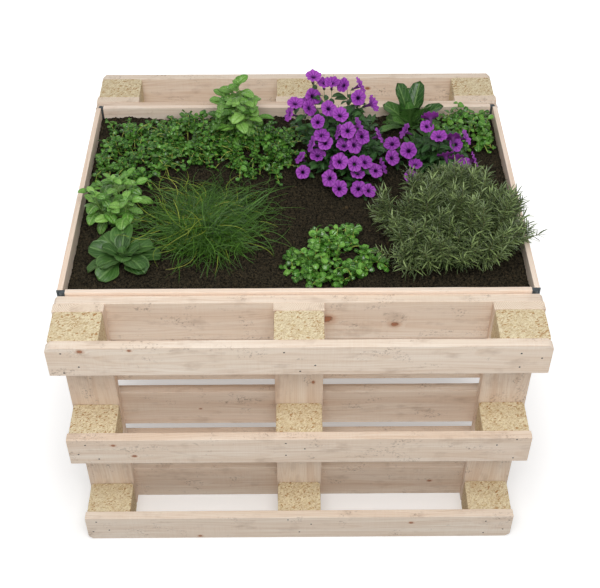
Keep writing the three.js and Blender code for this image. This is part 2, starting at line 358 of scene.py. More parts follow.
def wood_material(name, light, dark, warm, marks=1.0, spacing=4.4 * MM):
    """Sawn softwood. The board's own place attribute gives the growth rings around its pith."""
    m = Shader(name)
    place = m.attribute("place")
    pith = m.attribute("pith")
    tone = m.split(m.attribute("tone"))
    x, w, t = m.split(place)
    start, pith_w, pith_t = m.split(pith)
    grain = m.merge(x + start, w - pith_w, t - pith_t)

    ragged = m.noise(grain, 90, 1)
    parts = []
    for i in range(1, KNOTS + 1):
        knot_x, knot_w, knot_size = m.split(m.attribute(f"knot{i}"))
        distance = m.length((x - knot_x) * 0.7, w - knot_w) / m.larger(knot_size, 0.00001)
        distance = distance + (ragged - 0.5) * 0.9
        core = m.fit(distance, 0.85, 1.05, 1, 0)
        rim = m.fit(distance, 0.7, 1.0) * m.fit(distance, 1.0, 1.3, 1, 0)
        halo = m.fit(distance, 1.0, 2.6, 1, 0, smooth=True)
        lift = m.fit(distance, 0.0, 4.5, 1, 0, smooth=True)
        parts.append((core, rim, halo, lift))
    knot_core, knot_rim, knot_halo, bulge = (functools.reduce(m.larger, part) for part in zip(*parts))

    warped = m.bent(grain, (1.6, 7, 7), (0, 0.05, 0.05))
    _, across, through = m.split(warped)
    radius = m.length(across, through) + bulge * 0.007
    phase = radius / spacing + m.noise(grain, (3, 60, 60), 1)
    ring = m.math("FRACT", phase)
    late = m.fit(ring, 0.35, 0.9, smooth=True) * m.fit(ring, 0.92, 1.0, 1, 0)

    fibre = m.noise(grain, (7, 520, 520), 3, 0.6)
    streak = m.noise(warped, (1.8, 48, 48), 3, 0.55)
    broad = m.noise(grain, (2.2, 9, 9), 2)
    saw = m.noise(grain, (300, 14, 14), 2, 0.6)
    saw_zone = m.fit(m.noise(grain, (5, 14, 14), 1), 0.42, 0.6, 0.25, 1)

    depth = m.fit(streak, 0.3, 0.75) * 0.5 + late * 0.26 + (fibre - 0.5) * 0.35 + tone[0] * 0.12
    saw_marks = saw_zone * (saw - 0.5)
    depth = m.math("ADD", depth, saw_marks * 0.55, clamp=True)
    colour = m.mix(depth, light, dark)
    warmth = m.fit(broad, 0.4, 0.72) * m.fit(tone[1], 0, 1, 0.25, 0.7)
    colour = m.mix(warmth, colour, m.mix(depth, warm, dark))
    # A browner band tone, strongest on the cross and deck boards that stand back in the recesses: partly the
    # wood's own tone, partly painted shade.
    band = m.fit(m.noise(warped, (0.9, 26, 26), 2, 0.5), 0.46, 0.7)
    brown_and_shade = tone[2] * m.fit(band, 0, 1, 0.35, 1.0)
    colour = m.mix(brown_and_shade * 0.62, colour, srgb(206, 168, 138))
    line_grain = m.noise(warped, (4, 170, 170), 3, 0.6)
    colour = m.mix(m.fit(line_grain, 0.5, 0.75, 0, 0.4), colour, srgb(200, 166, 138))

    end = m.attribute("end", "Fac")
    end_colour = m.mix(late * 0.7, srgb(242, 226, 206), srgb(206, 176, 146))
    colour = m.mix(end * 0.8, colour, end_colour)

    colour = m.mix(knot_halo * 0.55, colour, srgb(203, 152, 116))
    rings = m.fit(m.sine(radius * 4200), -1, 1)
    colour = m.mix(knot_core, colour, m.mix(rings, srgb(160, 104, 76), srgb(190, 134, 100)))
    colour = m.mix(knot_rim * 0.6, colour, srgb(108, 72, 54))

    # Handling marks: thin crossing scratches, small specks and soft grey smudges.
    line_field = m.noise(grain, (9, 6, 6), 2)
    line = m.fit(abs(line_field - 0.52), 0.002, 0.010, 1, 0)
    line_zone = m.fit(m.noise(grain, (6, 11, 11), 1), 0.64, 0.72)
    line_breaks = m.fit(m.noise(grain, (30, 60, 60), 1), 0.46, 0.6)
    line = line * (line_zone * line_breaks) * (0.3 * marks)
    speck = m.fit(m.noise(grain, (130, 160, 160), 3, 0.8), 0.52, 0.68)
    speck_zone = m.fit(m.noise(grain, (12, 20, 20), 2, 0.6), 0.55, 0.66)
    speck = speck * speck_zone * (0.72 * marks)
    smudge = m.fit(m.noise(grain, (13, 26, 26), 3, 0.6), 0.55, 0.75) * (0.34 * marks)
    colour = m.mix(smudge, colour, srgb(160, 130, 106))
    colour = m.mix(m.larger(line, speck), colour, srgb(112, 84, 62))
    rough = m.fit(fibre + smudge, 0.3, 0.9, 0.62, 0.82)
    height = fibre * 0.6 + late * 0.25 + saw_marks * 1.6 - m.larger(line, knot_rim) * 0.6
    return m.finish(colour, height, 0.5 * MM, 0.55, roughness=rough, specular_ior_level=0.3)


pallet_wood = wood_material(
    "pallet_wood_look", srgb(248, 236, 221), srgb(226, 202, 177), srgb(241, 218, 198)
)
collar_wood = wood_material(
    "collar_wood_look", srgb(253, 239, 224), srgb(242, 214, 190), srgb(249, 224, 203), marks=0.3,
    spacing=3.6 * MM,
)

SEEDS = {}
for number, name in enumerate(sorted(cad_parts)):
    SEEDS[name] = 1000 + 7 * number


# Knots: how far along the board, how far across it and the radius, in millimetres.
CHOSEN_KNOTS = {
    "front_runner_top": [(84, 86, 4.2), (200, 88, 2.8), (700, 20, 0.0)],
    "rear_runner_top": [(330, 60, 0.0), (820, 60, 4.2), (935, 30, 3.4)],
    "front_deck_board_5": [(668, 72, 9.5), (838, 52, 6.0), (120, 20, 0)],
}

for side in ("front", "rear"):
    for row in ("bottom", "middle", "top"):
        name = f"{side}_runner_{row}"
        cut = {"low_cut": RUNNER_CORNER_CUT} if row == "bottom" else {}
        cut = {"high_cut": RUNNER_CORNER_CUT} if row == "top" else cut
        knots = [tuple(v * MM for v in k) for k in CHOSEN_KNOTS.get(name, [])]
        board(name, SEEDS[name], pallet_wood, "pallet_wood", knots=knots, **cut)
    for column in ("left", "centre", "right"):
        name = f"{side}_cross_board_{column}"
        # The cross boards stand back in the recesses: their strong brown is partly painted shade.
        board(name, SEEDS[name], pallet_wood, "pallet_wood", brown_and_shade=0.8)
    for number in range(1, 6):
        name = f"{side}_deck_board_{number}"
        # The deck boards stand back behind the cross boards: their brown is partly painted shade.
        cut = {1: {"low_cut": DECK_CORNER_CUT}, 5: {"high_cut": DECK_CORNER_CUT}}.get(number, {})
        knots = [tuple(v * MM for v in k) for k in CHOSEN_KNOTS.get(name, [])]
        board(name, SEEDS[name], pallet_wood, "pallet_wood", knots=knots, brown_and_shade=0.5, **cut)
for side in ("front", "rear", "left", "right"):
    name = f"collar_board_{side}"
    board(name, SEEDS[name], collar_wood, "collar_wood", wobble=0.25, knots=[(0, 0, 0)] * 2)


# Blocks --------------------------------------------------------------------------------------

# Each upright corner, from the right front one: right, back, its radius and its points.
BLOCK_CORNERS = (
    (True, False, 1.6 * MM, 4),
    (True, True, 10 * MM, 8),
    (False, True, 10 * MM, 8),
    (False, False, 1.6 * MM, 4),
)


def block(node, seed, material):
    """A pressed chip block with two rounded upright corners and slightly crumbled edges."""
    rng = np.random.default_rng(seed)
    low, high = corners_of(node)
    size_x, size_y, size_z = high - low

    def outline(inset):
        corners = []
        for (right, back, full, count), turn in zip(BLOCK_CORNERS, QUARTER_TURNS):
            radius = max(full - inset, 0.2 * MM)
            near = max(full, inset + radius)
            x = min(size_x - full, size_x - inset - radius) if right else near
            y = min(size_y - full, size_y - inset - radius) if back else near
            corners.append((x, y, radius, turn, count))
        return rounded_outline(corners, (11, 11, 11, 11))

    arc = np.linspace(0, math.pi / 2, 4)
    lower = [(0.0, inset * MM) for inset in (40, 25, 12, 5)]
    lower += [(EDGE_RADIUS * (1 - math.cos(a)), EDGE_RADIUS * (1 - math.sin(a))) for a in arc]
    middle = [(z, 0.0) for z in np.linspace(EDGE_RADIUS, size_z - EDGE_RADIUS, 12)[1:-1]]
    upper = [(size_z - z, inset) for z, inset in lower[::-1]]
    rings = []
    for z, inset in lower + middle + upper:
        ring = outline(inset)
        rings.append(np.column_stack([ring, np.full(len(ring), z)]))
    ring_size = len(rings[0])
    place = np.array(rings).reshape(-1, 3)
    centre = np.array([size_x, size_y, size_z]) / 2
    crumble = rng.uniform(0, 1, len(place)) ** 2 * 0.55 * MM
    inward = np.sign(centre - place) * crumble[:, None]
    place_worn = np.clip(place + inward * np.array([1, 1, 0.6]), 0, [size_x, size_y, size_z])
    points = low + place_worn
    quads = tube_faces(len(rings), ring_size)
    caps = [np.arange(ring_size)[::-1], (len(rings) - 1) * ring_size + np.arange(ring_size)]
    count = len(points)
    attributes = {
        "place": place + rng.uniform(-5, 5, 3),
        "tone": np.tile(rng.uniform(0, 1, 3), (count, 1)),
    }
    piece = make_object(f"{node}_chips", points, [quads, caps], material, attributes)
    weighted_normals(piece)
    return place_piece(piece, "chipboard", node)


def chipboard_material():
    m = Shader("chipboard_look")
    place = m.attribute("place")
    tone = m.split(m.attribute("tone"))
    place = m.bent(place, 60, (0.006, 0.006, 0.003))
    colour, height = None, None
    for turn, scale in ((0.3, 260), (1.25, 330), (2.2, 240), (2.85, 400)):
        turned = {"Vector": place, "Angle": turn}
        turned = m.node("ShaderNodeVectorRotate", turned, rotation_type="Z_AXIS")
        distance, random_colour = m.voronoi(turned, (scale * 0.38, scale * 1.15, scale * 1.3))
        pick = m.split(random_colour)
        chip = m.mix(m.fit(pick[0], 0.1, 0.85), srgb(206, 182, 138), srgb(243, 231, 199))
        chip = m.mix(m.fit(pick[1], 0.84, 0.94), chip, srgb(176, 128, 78))
        chip = m.mix(m.fit(pick[2], 0.7, 0.95, 0, 0.5), chip, srgb(231, 213, 165))
        edge = m.fit(distance, 0.45, 0.75)
        chip = m.mix(edge * 0.45, chip, srgb(176, 140, 92))
        level = pick[2] - edge * 0.5
        if colour is None:
            colour, height = chip, level
        else:
            above = m.math("GREATER_THAN", pick[0], 0.52)
            colour = m.mix(above, colour, chip)
            above_height = above * (level - height)
            height = height + above_height
    dust = m.noise(place, 700, 2, 0.7)
    colour = m.mix(m.fit(dust, 0.5, 0.75, 0, 0.3), colour, srgb(180, 148, 106))
    stain = m.fit(m.noise(place, 28, 2), 0.55, 0.8, 0, 0.35)
    colour = m.mix(stain, colour, srgb(196, 160, 112))
    colour = m.mix(m.fit(tone[0], 0, 1, 0, 0.14), colour, srgb(200, 174, 130))
    return m.finish(colour, height + dust * 0.5, 0.9 * MM, 0.7, roughness=0.85, specular_ior_level=0.2)


chips = chipboard_material()
for side in ("front", "rear"):
    for row in ("bottom", "middle", "top"):
        for column in ("left", "centre", "right"):
            name = f"{side}_block_{row}_{column}"
            block(name, SEEDS[name], chips)


# Kept CAD nodes ------------------------------------------------------------------------------


def steel_material():
    m = Shader("dark_steel_look")
    place = m.place()
    cloud = m.noise(place, 35, 3, 0.6)
    fine = m.noise(place, 900, 2, 0.6)
    scratch = m.noise(place, (600, 600, 30), 2, 0.6)
    colour = m.mix(m.fit(cloud, 0.3, 0.7), srgb(74, 82, 86), srgb(104, 112, 116))
    colour = m.mix(m.fit(scratch, 0.6, 0.72, 0, 0.5), colour, srgb(138, 145, 148))
    return m.finish(
        colour, fine, 0.12 * MM, 0.4,
        metallic=0.55, specular_ior_level=0.5, roughness=m.fit(cloud + fine, 0.7, 1.3, 0.36, 0.6),
    )


def plywood_material():
    m = Shader("plywood_look")
    place = m.place()
    streak = m.noise(place, (3, 60, 400), 3, 0.6)
    fibre = m.noise(place, (14, 700, 700), 2, 0.6)
    colour = m.mix(m.fit(streak, 0.3, 0.7), srgb(216, 186, 146), srgb(188, 152, 110))
    colour = m.mix(m.fit(fibre, 0.5, 0.8, 0, 0.4), colour, srgb(160, 124, 86))
    return m.finish(
        colour, fibre, 0.25 * MM, 0.5,
        roughness=m.fit(fibre, 0.3, 0.7, 0.65, 0.85), specular_ior_level=0.25,
    )


steel = steel_material()
plywood = plywood_material()


def dress(node, material, bevel):
    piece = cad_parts[node]
    piece.data.materials.clear()
    piece.data.materials.append(material)
    modifier = piece.modifiers.new("edges", "BEVEL")
    modifier.width = bevel
    modifier.segments = 3
    modifier.limit_method = "ANGLE"
    modifier.angle_limit = math.radians(40)
    modifier.harden_normals = True
    return piece


for side in ("front", "rear"):
    for end in ("left", "right"):
        dress(f"collar_hinge_{side}_{end}", steel, 0.35 * MM)
    board(f"ledger_{side}", SEEDS[f"ledger_{side}"], pallet_wood, "pallet_wood")
dress("floor_panel", plywood, 1.0 * MM)


# Nails ---------------------------------------------------------------------------------------

NAIL_RADIUS = 2.6 * MM


def nail_heads(name, spots, material, slot_name, radius, rise):
    """Small domed heads. Each spot is a point on a surface and that surface's outward normal."""
    turns = np.linspace(0, 2 * math.pi, 13)[:-1]
    profile = [(1.0, -0.6), (1.0, 0.15), (0.86, 0.6), (0.5, 0.9)]
    points, quads, tops = [], [], []
    for centre, normal in spots:
        centre, normal = np.array(centre), np.array(normal, float)
        side = np.cross(normal, [0, 0, 1.0] if abs(normal[2]) < 0.5 else [1.0, 0, 0])
        side /= np.linalg.norm(side)
        other = np.cross(normal, side)
        start = len(points)
        for share, height in profile:
            for turn in turns:
                direction = side * math.cos(turn) + other * math.sin(turn)
                points.append(centre + direction * radius * share + normal * (height * rise))
        quads.append(tube_faces(len(profile), len(turns)) + start)
        last = start + (len(profile) - 1) * len(turns)
        tops.append(last + np.arange(len(turns)))
        tops.append(start + np.arange(len(turns))[::-1])
    piece = make_object(name, np.array(points), [np.concatenate(quads), np.array(tops)], material)
    return place_piece(piece, slot_name)


def nail_material():
    m = Shader("nail_look")
    place = m.place()
    rust = m.noise(place, 260, 2, 0.6)
    colour = m.mix(m.fit(rust, 0.4, 0.7), srgb(58, 60, 62), srgb(86, 78, 72))
    rough = m.fit(rust, 0.3, 0.7, 0.5, 0.75)
    return m.finish(colour, rust, 0.2 * MM, 0.3, metallic=0.4, specular_ior_level=0.4, roughness=rough)


nail_look = nail_material()

# Three nails a joint: offsets from the joint's centre, in X and Z, in millimetres.
FRONT_NAILS = {
    ("top", "left"): [(-27, 30), (10, -17), (-28, -38)],
    ("top", "centre"): [(-36, 30), (38, -16), (2, -37)],
    ("top", "right"): [(-10, 22), (41, 5), (-8, -26)],
    ("middle", "left"): [(-17, 29), (-39, -9), (12, -29)],
    ("middle", "centre"): [(-35, 32), (-35, -18), (14, 9)],
    ("middle", "right"): [(25, 43), (-24, 20), (25, -35)],
    ("bottom", "left"): [(-34, 33), (-48, -14), (-2, -7)],
    ("bottom", "centre"): [(-32, 38), (33, 16), (0, -22)],
    ("bottom", "right"): [(-11, 25), (41, -14), (-12, -32)],
}
FRONT = np.array([0, -1, 0])
REAR = np.array([0, 1, 0])

for side, outward in (("front", FRONT), ("rear", REAR)):
    spots = []
    for (row, column), offsets in FRONT_NAILS.items():
        runner_low, runner_high = corners_of(f"{side}_runner_{row}")
        block_low, block_high = corners_of(f"{side}_block_{row}_{column}")
        middle = (block_low + block_high) / 2
        face = runner_low[1] if side == "front" else runner_high[1]
        for dx, dz in offsets:
            if side == "rear":
                dx = -dx
            spots.append(((middle[0] + dx * MM, face - outward[1] * 0.35 * MM, middle[2] + dz * MM), outward))
    nail_heads(f"{side}_runner_nails", spots, nail_look, "dark_steel", NAIL_RADIUS, 0.7 * MM)

    spots = []
    inward = -outward
    rng = np.random.default_rng(77 if side == "front" else 78)
    for number in range(1, 6):
        deck_low, deck_high = corners_of(f"{side}_deck_board_{number}")
        face = deck_high[1] if side == "front" else deck_low[1]
        for column in ("left", "centre", "right"):
            cross_low, cross_high = corners_of(f"{side}_cross_board_{column}")
            for share in ((0.28, 0.25), (0.7, 0.5), (0.35, 0.78)):
                x = cross_low[0] + (cross_high[0] - cross_low[0]) * (share[0] + rng.uniform(-0.06, 0.06))
                z = deck_low[2] + (deck_high[2] - deck_low[2]) * (share[1] + rng.uniform(-0.06, 0.06))
                spots.append(((x, face - inward[1] * 0.35 * MM, z), inward))
    nail_heads(f"{side}_deck_nails", spots, nail_look, "dark_steel", NAIL_RADIUS, 0.7 * MM)


# Soil ----------------------------------------------------------------------------------------


def value_noise(rng, shape, cells):
    """Smooth random values from 0 to 1 on a grid, from a coarse grid of the given cell counts."""
    coarse = rng.uniform(0, 1, (cells[0] + 3, cells[1] + 3))
    u = np.linspace(0, cells[0], shape[0])
    v = np.linspace(0, cells[1], shape[1])
    i, j = np.floor(u).astype(int), np.floor(v).astype(int)
    fu, fv = (u - i)[:, None], (v - j)[None, :]
    fu, fv = fu * fu * (3 - 2 * fu), fv * fv * (3 - 2 * fv)
    a, b = coarse[np.ix_(i, j)], coarse[np.ix_(i + 1, j)]
    c, d = coarse[np.ix_(i, j + 1)], coarse[np.ix_(i + 1, j + 1)]
    return (a * (1 - fu) + b * fu) * (1 - fv) + (c * (1 - fu) + d * fu) * fv


soil_low, soil_high = corners_of("soil")
SOIL_COUNTS = (260, 172)
soil_rng = np.random.default_rng(51)
soil_relief = (
    11 * (value_noise(soil_rng, SOIL_COUNTS, (9, 6)) - 0.5)
    + 7 * (value_noise(soil_rng, SOIL_COUNTS, (31, 21)) - 0.5)
    + 4.5 * (value_noise(soil_rng, SOIL_COUNTS, (90, 60)) - 0.5)
    + 3.0 * (value_noise(soil_rng, SOIL_COUNTS, (200, 132)) - 0.5)
    + 2.2 * soil_rng.uniform(-1, 1, SOIL_COUNTS)
) * MM


def soil_height(x, y):
    """The soil surface's height under a point, from the same relief as the mesh."""
    i = (np.asarray(x) - soil_low[0]) / (soil_high[0] - soil_low[0]) * (SOIL_COUNTS[0] - 1)
    j = (np.asarray(y) - soil_low[1]) / (soil_high[1] - soil_low[1]) * (SOIL_COUNTS[1] - 1)
    i = np.clip(np.round(i).astype(int), 0, SOIL_COUNTS[0] - 1)
    j = np.clip(np.round(j).astype(int), 0, SOIL_COUNTS[1] - 1)
    return soil_high[2] + soil_relief[i, j]


def soil_surface(material):
    columns, lines = SOIL_COUNTS
    inset = 0.3 * MM
    xs = np.linspace(soil_low[0] + inset, soil_high[0] - inset, columns)
    ys = np.linspace(soil_low[1] + inset, soil_high[1] - inset, lines)
    grid_x, grid_y = np.meshgrid(xs, ys, indexing="ij")
    top = np.stack([grid_x, grid_y, soil_high[2] + soil_relief], -1).reshape(-1, 3)
    index = np.arange(columns * lines).reshape(columns, lines)
    quads = np.stack([index[:-1, :-1], index[1:, :-1], index[1:, 1:], index[:-1, 1:]], -1).reshape(-1, 4)
    rim = np.concatenate([index[:, 0], index[-1, 1:], index[-2::-1, -1], index[0, -2:0:-1]])
    base = top[rim].copy()
    base[:, 2] = soil_low[2] + inset
    points = np.concatenate([top, base])
    lower = len(top) + np.arange(len(rim))
    skirt = np.stack([np.roll(rim, -1), rim, lower, np.roll(lower, -1)], -1)
    piece = make_object("soil_bed", points, [quads, skirt, [lower[::-1]]], material)
    return place_piece(piece, "soil", "soil")


def crumb_shapes(points, sizes, rng):
    """Small uneven lumps: an icosahedron at each point, each one stretched and jittered."""
    golden = (1 + 5**0.5) / 2
    base = np.array(
        [(-1, golden, 0), (1, golden, 0), (-1, -golden, 0), (1, -golden, 0), (0, -1, golden),
         (0, 1, golden), (0, -1, -golden), (0, 1, -golden), (golden, 0, -1), (golden, 0, 1),
         (-golden, 0, -1), (-golden, 0, 1)]
    ) / math.hypot(1, golden)
    triangles = np.array(
        [(0, 11, 5), (0, 5, 1), (0, 1, 7), (0, 7, 10), (0, 10, 11), (1, 5, 9), (5, 11, 4),
         (11, 10, 2), (10, 7, 6), (7, 1, 8), (3, 9, 4), (3, 4, 2), (3, 2, 6), (3, 6, 8),
         (3, 8, 9), (4, 9, 5), (2, 4, 11), (6, 2, 10), (8, 6, 7), (9, 8, 1)]
    )
    count = len(points)
    shape = base[None] * rng.uniform(0.72, 1.2, (count, 12, 1))
    shape = shape * rng.uniform(0.55, 1.25, (count, 1, 3))
    turns = rng.uniform(0, 2 * math.pi, count)
    cos, sin = np.cos(turns)[:, None], np.sin(turns)[:, None]
    x, y = shape[..., 0] * cos - shape[..., 1] * sin, shape[..., 0] * sin + shape[..., 1] * cos
    shape = np.stack([x, y, shape[..., 2]], -1) * sizes[:, None, None]
    corners = (points[:, None] + shape).reshape(-1, 3)
    faces = (np.arange(count)[:, None, None] * 12 + triangles[None]).reshape(-1, 3)
    return corners, faces


def soil_material(name, loose):
    m = Shader(name)
    place = m.place()
    grit = m.noise(place, 520, 3, 0.7)
    clod = m.noise(place, 190, 2, 0.6)
    distance, random_colour = m.voronoi(place, 330)
    pick = m.split(random_colour)
    colour = m.mix(m.fit(clod, 0.42, 0.6), srgb(22, 19, 13), srgb(80, 71, 54))
    colour = m.mix(m.fit(pick[0], 0.4, 0.9, 0, 0.6), colour, srgb(66, 60, 46))
    colour = m.mix(m.fit(pick[1], 0.95, 0.98, 0, 0.6), colour, srgb(98, 84, 60))
    if loose:
        shade = m.split(m.attribute("tone"))
        colour = m.mix(m.fit(shade[0], 0.2, 1.0, 0, 0.6), colour, srgb(92, 80, 60))
        colour = m.mix(m.fit(shade[1], 0.965, 0.99, 0, 0.65), colour, srgb(112, 94, 66))
    # Near-black where the grit noise is low, which is also where the bump lies lowest: partly dark grains,
    # partly painted shade in the pits.
    colour = m.mix(m.fit(grit, 0.38, 0.54, 0.7, 0), colour, srgb(14, 12, 8))
    return m.finish(colour, grit + distance * -0.6, 3.2 * MM, 1.0, roughness=0.95, specular_ior_level=0.15)


soil_surface(soil_material("soil_look", False))
CRUMBS = 9000
crumb_rng = np.random.default_rng(52)
crumb_x = crumb_rng.uniform(soil_low[0] + 4 * MM, soil_high[0] - 4 * MM, CRUMBS)
crumb_y = crumb_rng.uniform(soil_low[1] + 4 * MM, soil_high[1] - 4 * MM, CRUMBS)
crumb_size = (1.2 + 4.8 * crumb_rng.uniform(0, 1, CRUMBS) ** 2.2) * MM
crumb_points = np.stack([crumb_x, crumb_y, soil_height(crumb_x, crumb_y) + crumb_size * 0.25], -1)
crumb_corners, crumb_faces = crumb_shapes(crumb_points, crumb_size, crumb_rng)
crumb_tone = np.repeat(crumb_rng.uniform(0, 1, (CRUMBS, 3)), 12, axis=0)
crumbs = make_object(
    "soil_crumbs", crumb_corners, [crumb_faces], soil_material("crumb_look", True), {"tone": crumb_tone},
    smooth=False,
)
place_piece(crumbs, "soil")


# Plants --------------------------------------------------------------------------------------

SHEET = 0.5 * MM


def unit(vectors):
    vectors = np.asarray(vectors, float)
    return vectors / np.maximum(np.linalg.norm(vectors, axis=-1, keepdims=True), 1e-9)


class Foliage:
    """Collects thin closed leaves, petals or stems, and makes them one object."""

    def __init__(self):
        self.points, self.faces, self.blade, self.tone = [], [], [], []
        self.count = 0

    def add(self, points, faces, blade, tone):
        """points is (k, n, 3) for k copies, faces indexes one copy, blade is (n, 3) or (k, n, 3)."""
        copies, size = points.shape[:2]
        offset = self.count + np.arange(copies)[:, None, None] * size
        self.points.append(points.reshape(-1, 3))
        self.faces.append((faces[None] + offset).reshape(-1, faces.shape[1]))
        self.blade.append(np.broadcast_to(blade, (copies, size, 3)).reshape(-1, 3))
        self.tone.append(np.repeat(tone, size, axis=0))
        self.count += copies * size

    def sheets(self, points, normals, quads, loops, blade, tone):
        """Closed thin sheets from their middle surfaces: a front, a back and a rim along each loop."""
        copies, size = points.shape[:2]
        both = np.concatenate([points + normals * SHEET / 2, points - normals * SHEET / 2], axis=1)
        rims = []
        for loop in loops:
            ahead = np.roll(loop, -1)
            rims.append(np.stack([loop, loop + size, ahead + size, ahead], -1))
        faces = np.concatenate([quads, quads[:, ::-1] + size, *rims])
        blade = np.broadcast_to(blade, (copies, size, 3))
        front = np.concatenate([blade, blade], axis=1).copy()
        front[:, :size, 2] = 1
        front[:, size:, 2] = 0
        self.add(both, faces, front, tone)

    def make(self, name, material, slot_name, *nodes):
        attributes = {"blade": np.concatenate(self.blade), "tone": np.concatenate(self.tone)}
        piece = make_object(name, np.concatenate(self.points), self.faces, material, attributes)
        return place_piece(piece, slot_name, *nodes)


def grid_template(rows, columns):
    index = np.arange((rows + 1) * (columns + 1)).reshape(rows + 1, columns + 1)
    quads = np.stack([index[:-1, :-1], index[:-1, 1:], index[1:, 1:], index[1:, :-1]], -1).reshape(-1, 4)
    loop = np.concatenate([index[0, ::-1], index[1:, 0], index[-1, 1:], index[-2:0:-1, -1]])
    return quads, loop


def ovate(v, belly=0.42, tip=1.0):
    """Half width along a leaf, from 0 at its foot to 0 at its tip, widest at belly."""
    rise = np.clip(v / belly, 0, 1)
    fall = np.clip((1 - v) / (1 - belly), 0, 1)
    return np.where(v < belly, np.sin(rise * math.pi / 2) ** 0.8, np.sin(fall * math.pi / 2) ** tip)


def oval(v):
    """Half width of a leaf with a round middle and a short point."""
    return ovate(v, belly=0.45, tip=0.72)


def spoon(v):
    """Half width of a leaf that narrows to a stalk and is widest near its round tip."""
    stalk = 0.12 + 0.1 * v
    head = np.sqrt(np.clip(1 - ((v - 0.62) / 0.38) ** 2, 0, 1))
    body = np.clip((v - 0.12) / 0.4, 0, 1) ** 1.3
    return np.where(v > 0.62, head, np.maximum(stalk, body))


def roundish(v):
    stalk = np.where(v < 0.12, 0.1, 0)
    disc = np.sqrt(np.clip(1 - ((v - 0.56) / 0.44) ** 2, 0, 1))
    return np.maximum(stalk, disc)


def blade_shape(v):
    widening = np.clip(0.55 + 0.45 * np.sin(np.clip(v * 2.2, 0, math.pi / 2)), 0, 1)
    return widening * np.clip((1 - v) * 3, 0, 1) ** 0.7


def needle(v):
    return np.clip(v * 6 + 0.3, 0, 1) * np.clip((1 - v) * 2.2, 0, 1) ** 0.6


def leaves(foliage, bases, directions, ups, lengths, widths, rng, shape=ovate, bend=0.6, fold=0.25,
           ripple=0.0, puff=0.0, rows=6, columns=4, twist=0.0, sway=0.0, curl=0.0):
    """Leaves as bent, folded grids. Each has a base, a direction, an upper side, a length and a width."""
    bases = np.asarray(bases, float)
    count = len(bases)
    if not count:
        return
    forward = unit(directions)
    ups = np.asarray(ups, float)
    normal = unit(ups - (ups * forward).sum(-1, keepdims=True) * forward)
    side = np.cross(normal, forward)
    turn = np.broadcast_to(twist, (count,)) * rng.uniform(-1, 1, count)
    cos, sin = np.cos(turn)[:, None], np.sin(turn)[:, None]
    normal, side = normal * cos + side * sin, side * cos - normal * sin
    lengths = np.broadcast_to(lengths, (count,))
    widths = np.broadcast_to(widths, (count,))
    bends = np.broadcast_to(bend, (count,)) * rng.uniform(0.6, 1.4, count)
    folds = np.broadcast_to(fold, (count,)) * rng.uniform(0.6, 1.4, count)
    sways = np.broadcast_to(sway, (count,)) * rng.uniform(-1, 1, count)
    v = np.linspace(0, 1, rows + 1)
    u = np.linspace(-1, 1, columns + 1)
    angle = bends[:, None] * v[None] ** 1.2
    drift = sways[:, None] * v[None]
    if curl:
        turns = rng.uniform(3.5, 8.0, (count, 1)) * v[None] + rng.uniform(0, 2 * math.pi, (count, 1))
        drift = drift + curl * rng.uniform(0.3, 1.0, (count, 1)) * (np.sin(turns) - np.sin(turns[:, :1]))
    step = lengths[:, None] / rows
    ahead = np.cos(angle) * np.cos(drift)
    drop = np.sin(angle)
    across = np.sin(drift) * np.cos(angle)

    def path(values):
        middle = (values[:, 1:] + values[:, :-1]) / 2 * step
        return np.concatenate([np.zeros((count, 1)), np.cumsum(middle, 1)], 1)

    spine = (
        bases[:, None]
        + path(ahead)[..., None] * forward[:, None]
        - path(drop)[..., None] * normal[:, None]
        + path(across)[..., None] * side[:, None]
    )
    up = np.cos(angle)[..., None] * normal[:, None] + np.sin(angle)[..., None] * forward[:, None]
    half = shape(v)[None] * widths[:, None] / 2
    reach = half[:, :, None] * u[None, None, :]
    cos_fold = np.cos(folds)[:, None, None]
    lift = np.abs(reach) * np.sin(folds)[:, None, None]
    phase = rng.uniform(0, 2 * math.pi, (count, 1, 1))
    wave = np.sin(v[None, :, None] * 15 + phase + 1.5 * np.sign(u)[None, None, :]) * u[None, None, :] ** 2
    lift = lift + wave * ripple * half[:, :, None]
    lift = lift + puff * half[:, :, None] * (np.abs(u) * (1 - np.abs(u)))[None, None, :] * 4
    points = (
        spine[:, :, None]
        + (reach * cos_fold)[..., None] * side[:, None, None]
        + lift[..., None] * up[:, :, None]
    )
    normals = np.broadcast_to(up[:, :, None], points.shape)
    quads, loop = grid_template(rows, columns)
    blade = np.zeros((rows + 1, columns + 1, 3))
    blade[..., 0] = u[None]
    blade[..., 1] = v[:, None]
    size = (rows + 1) * (columns + 1)
    foliage.sheets(
        points.reshape(count, size, 3), normals.reshape(count, size, 3), quads, [loop],
        blade.reshape(size, 3), rng.uniform(0, 1, (count, 3)),
    )


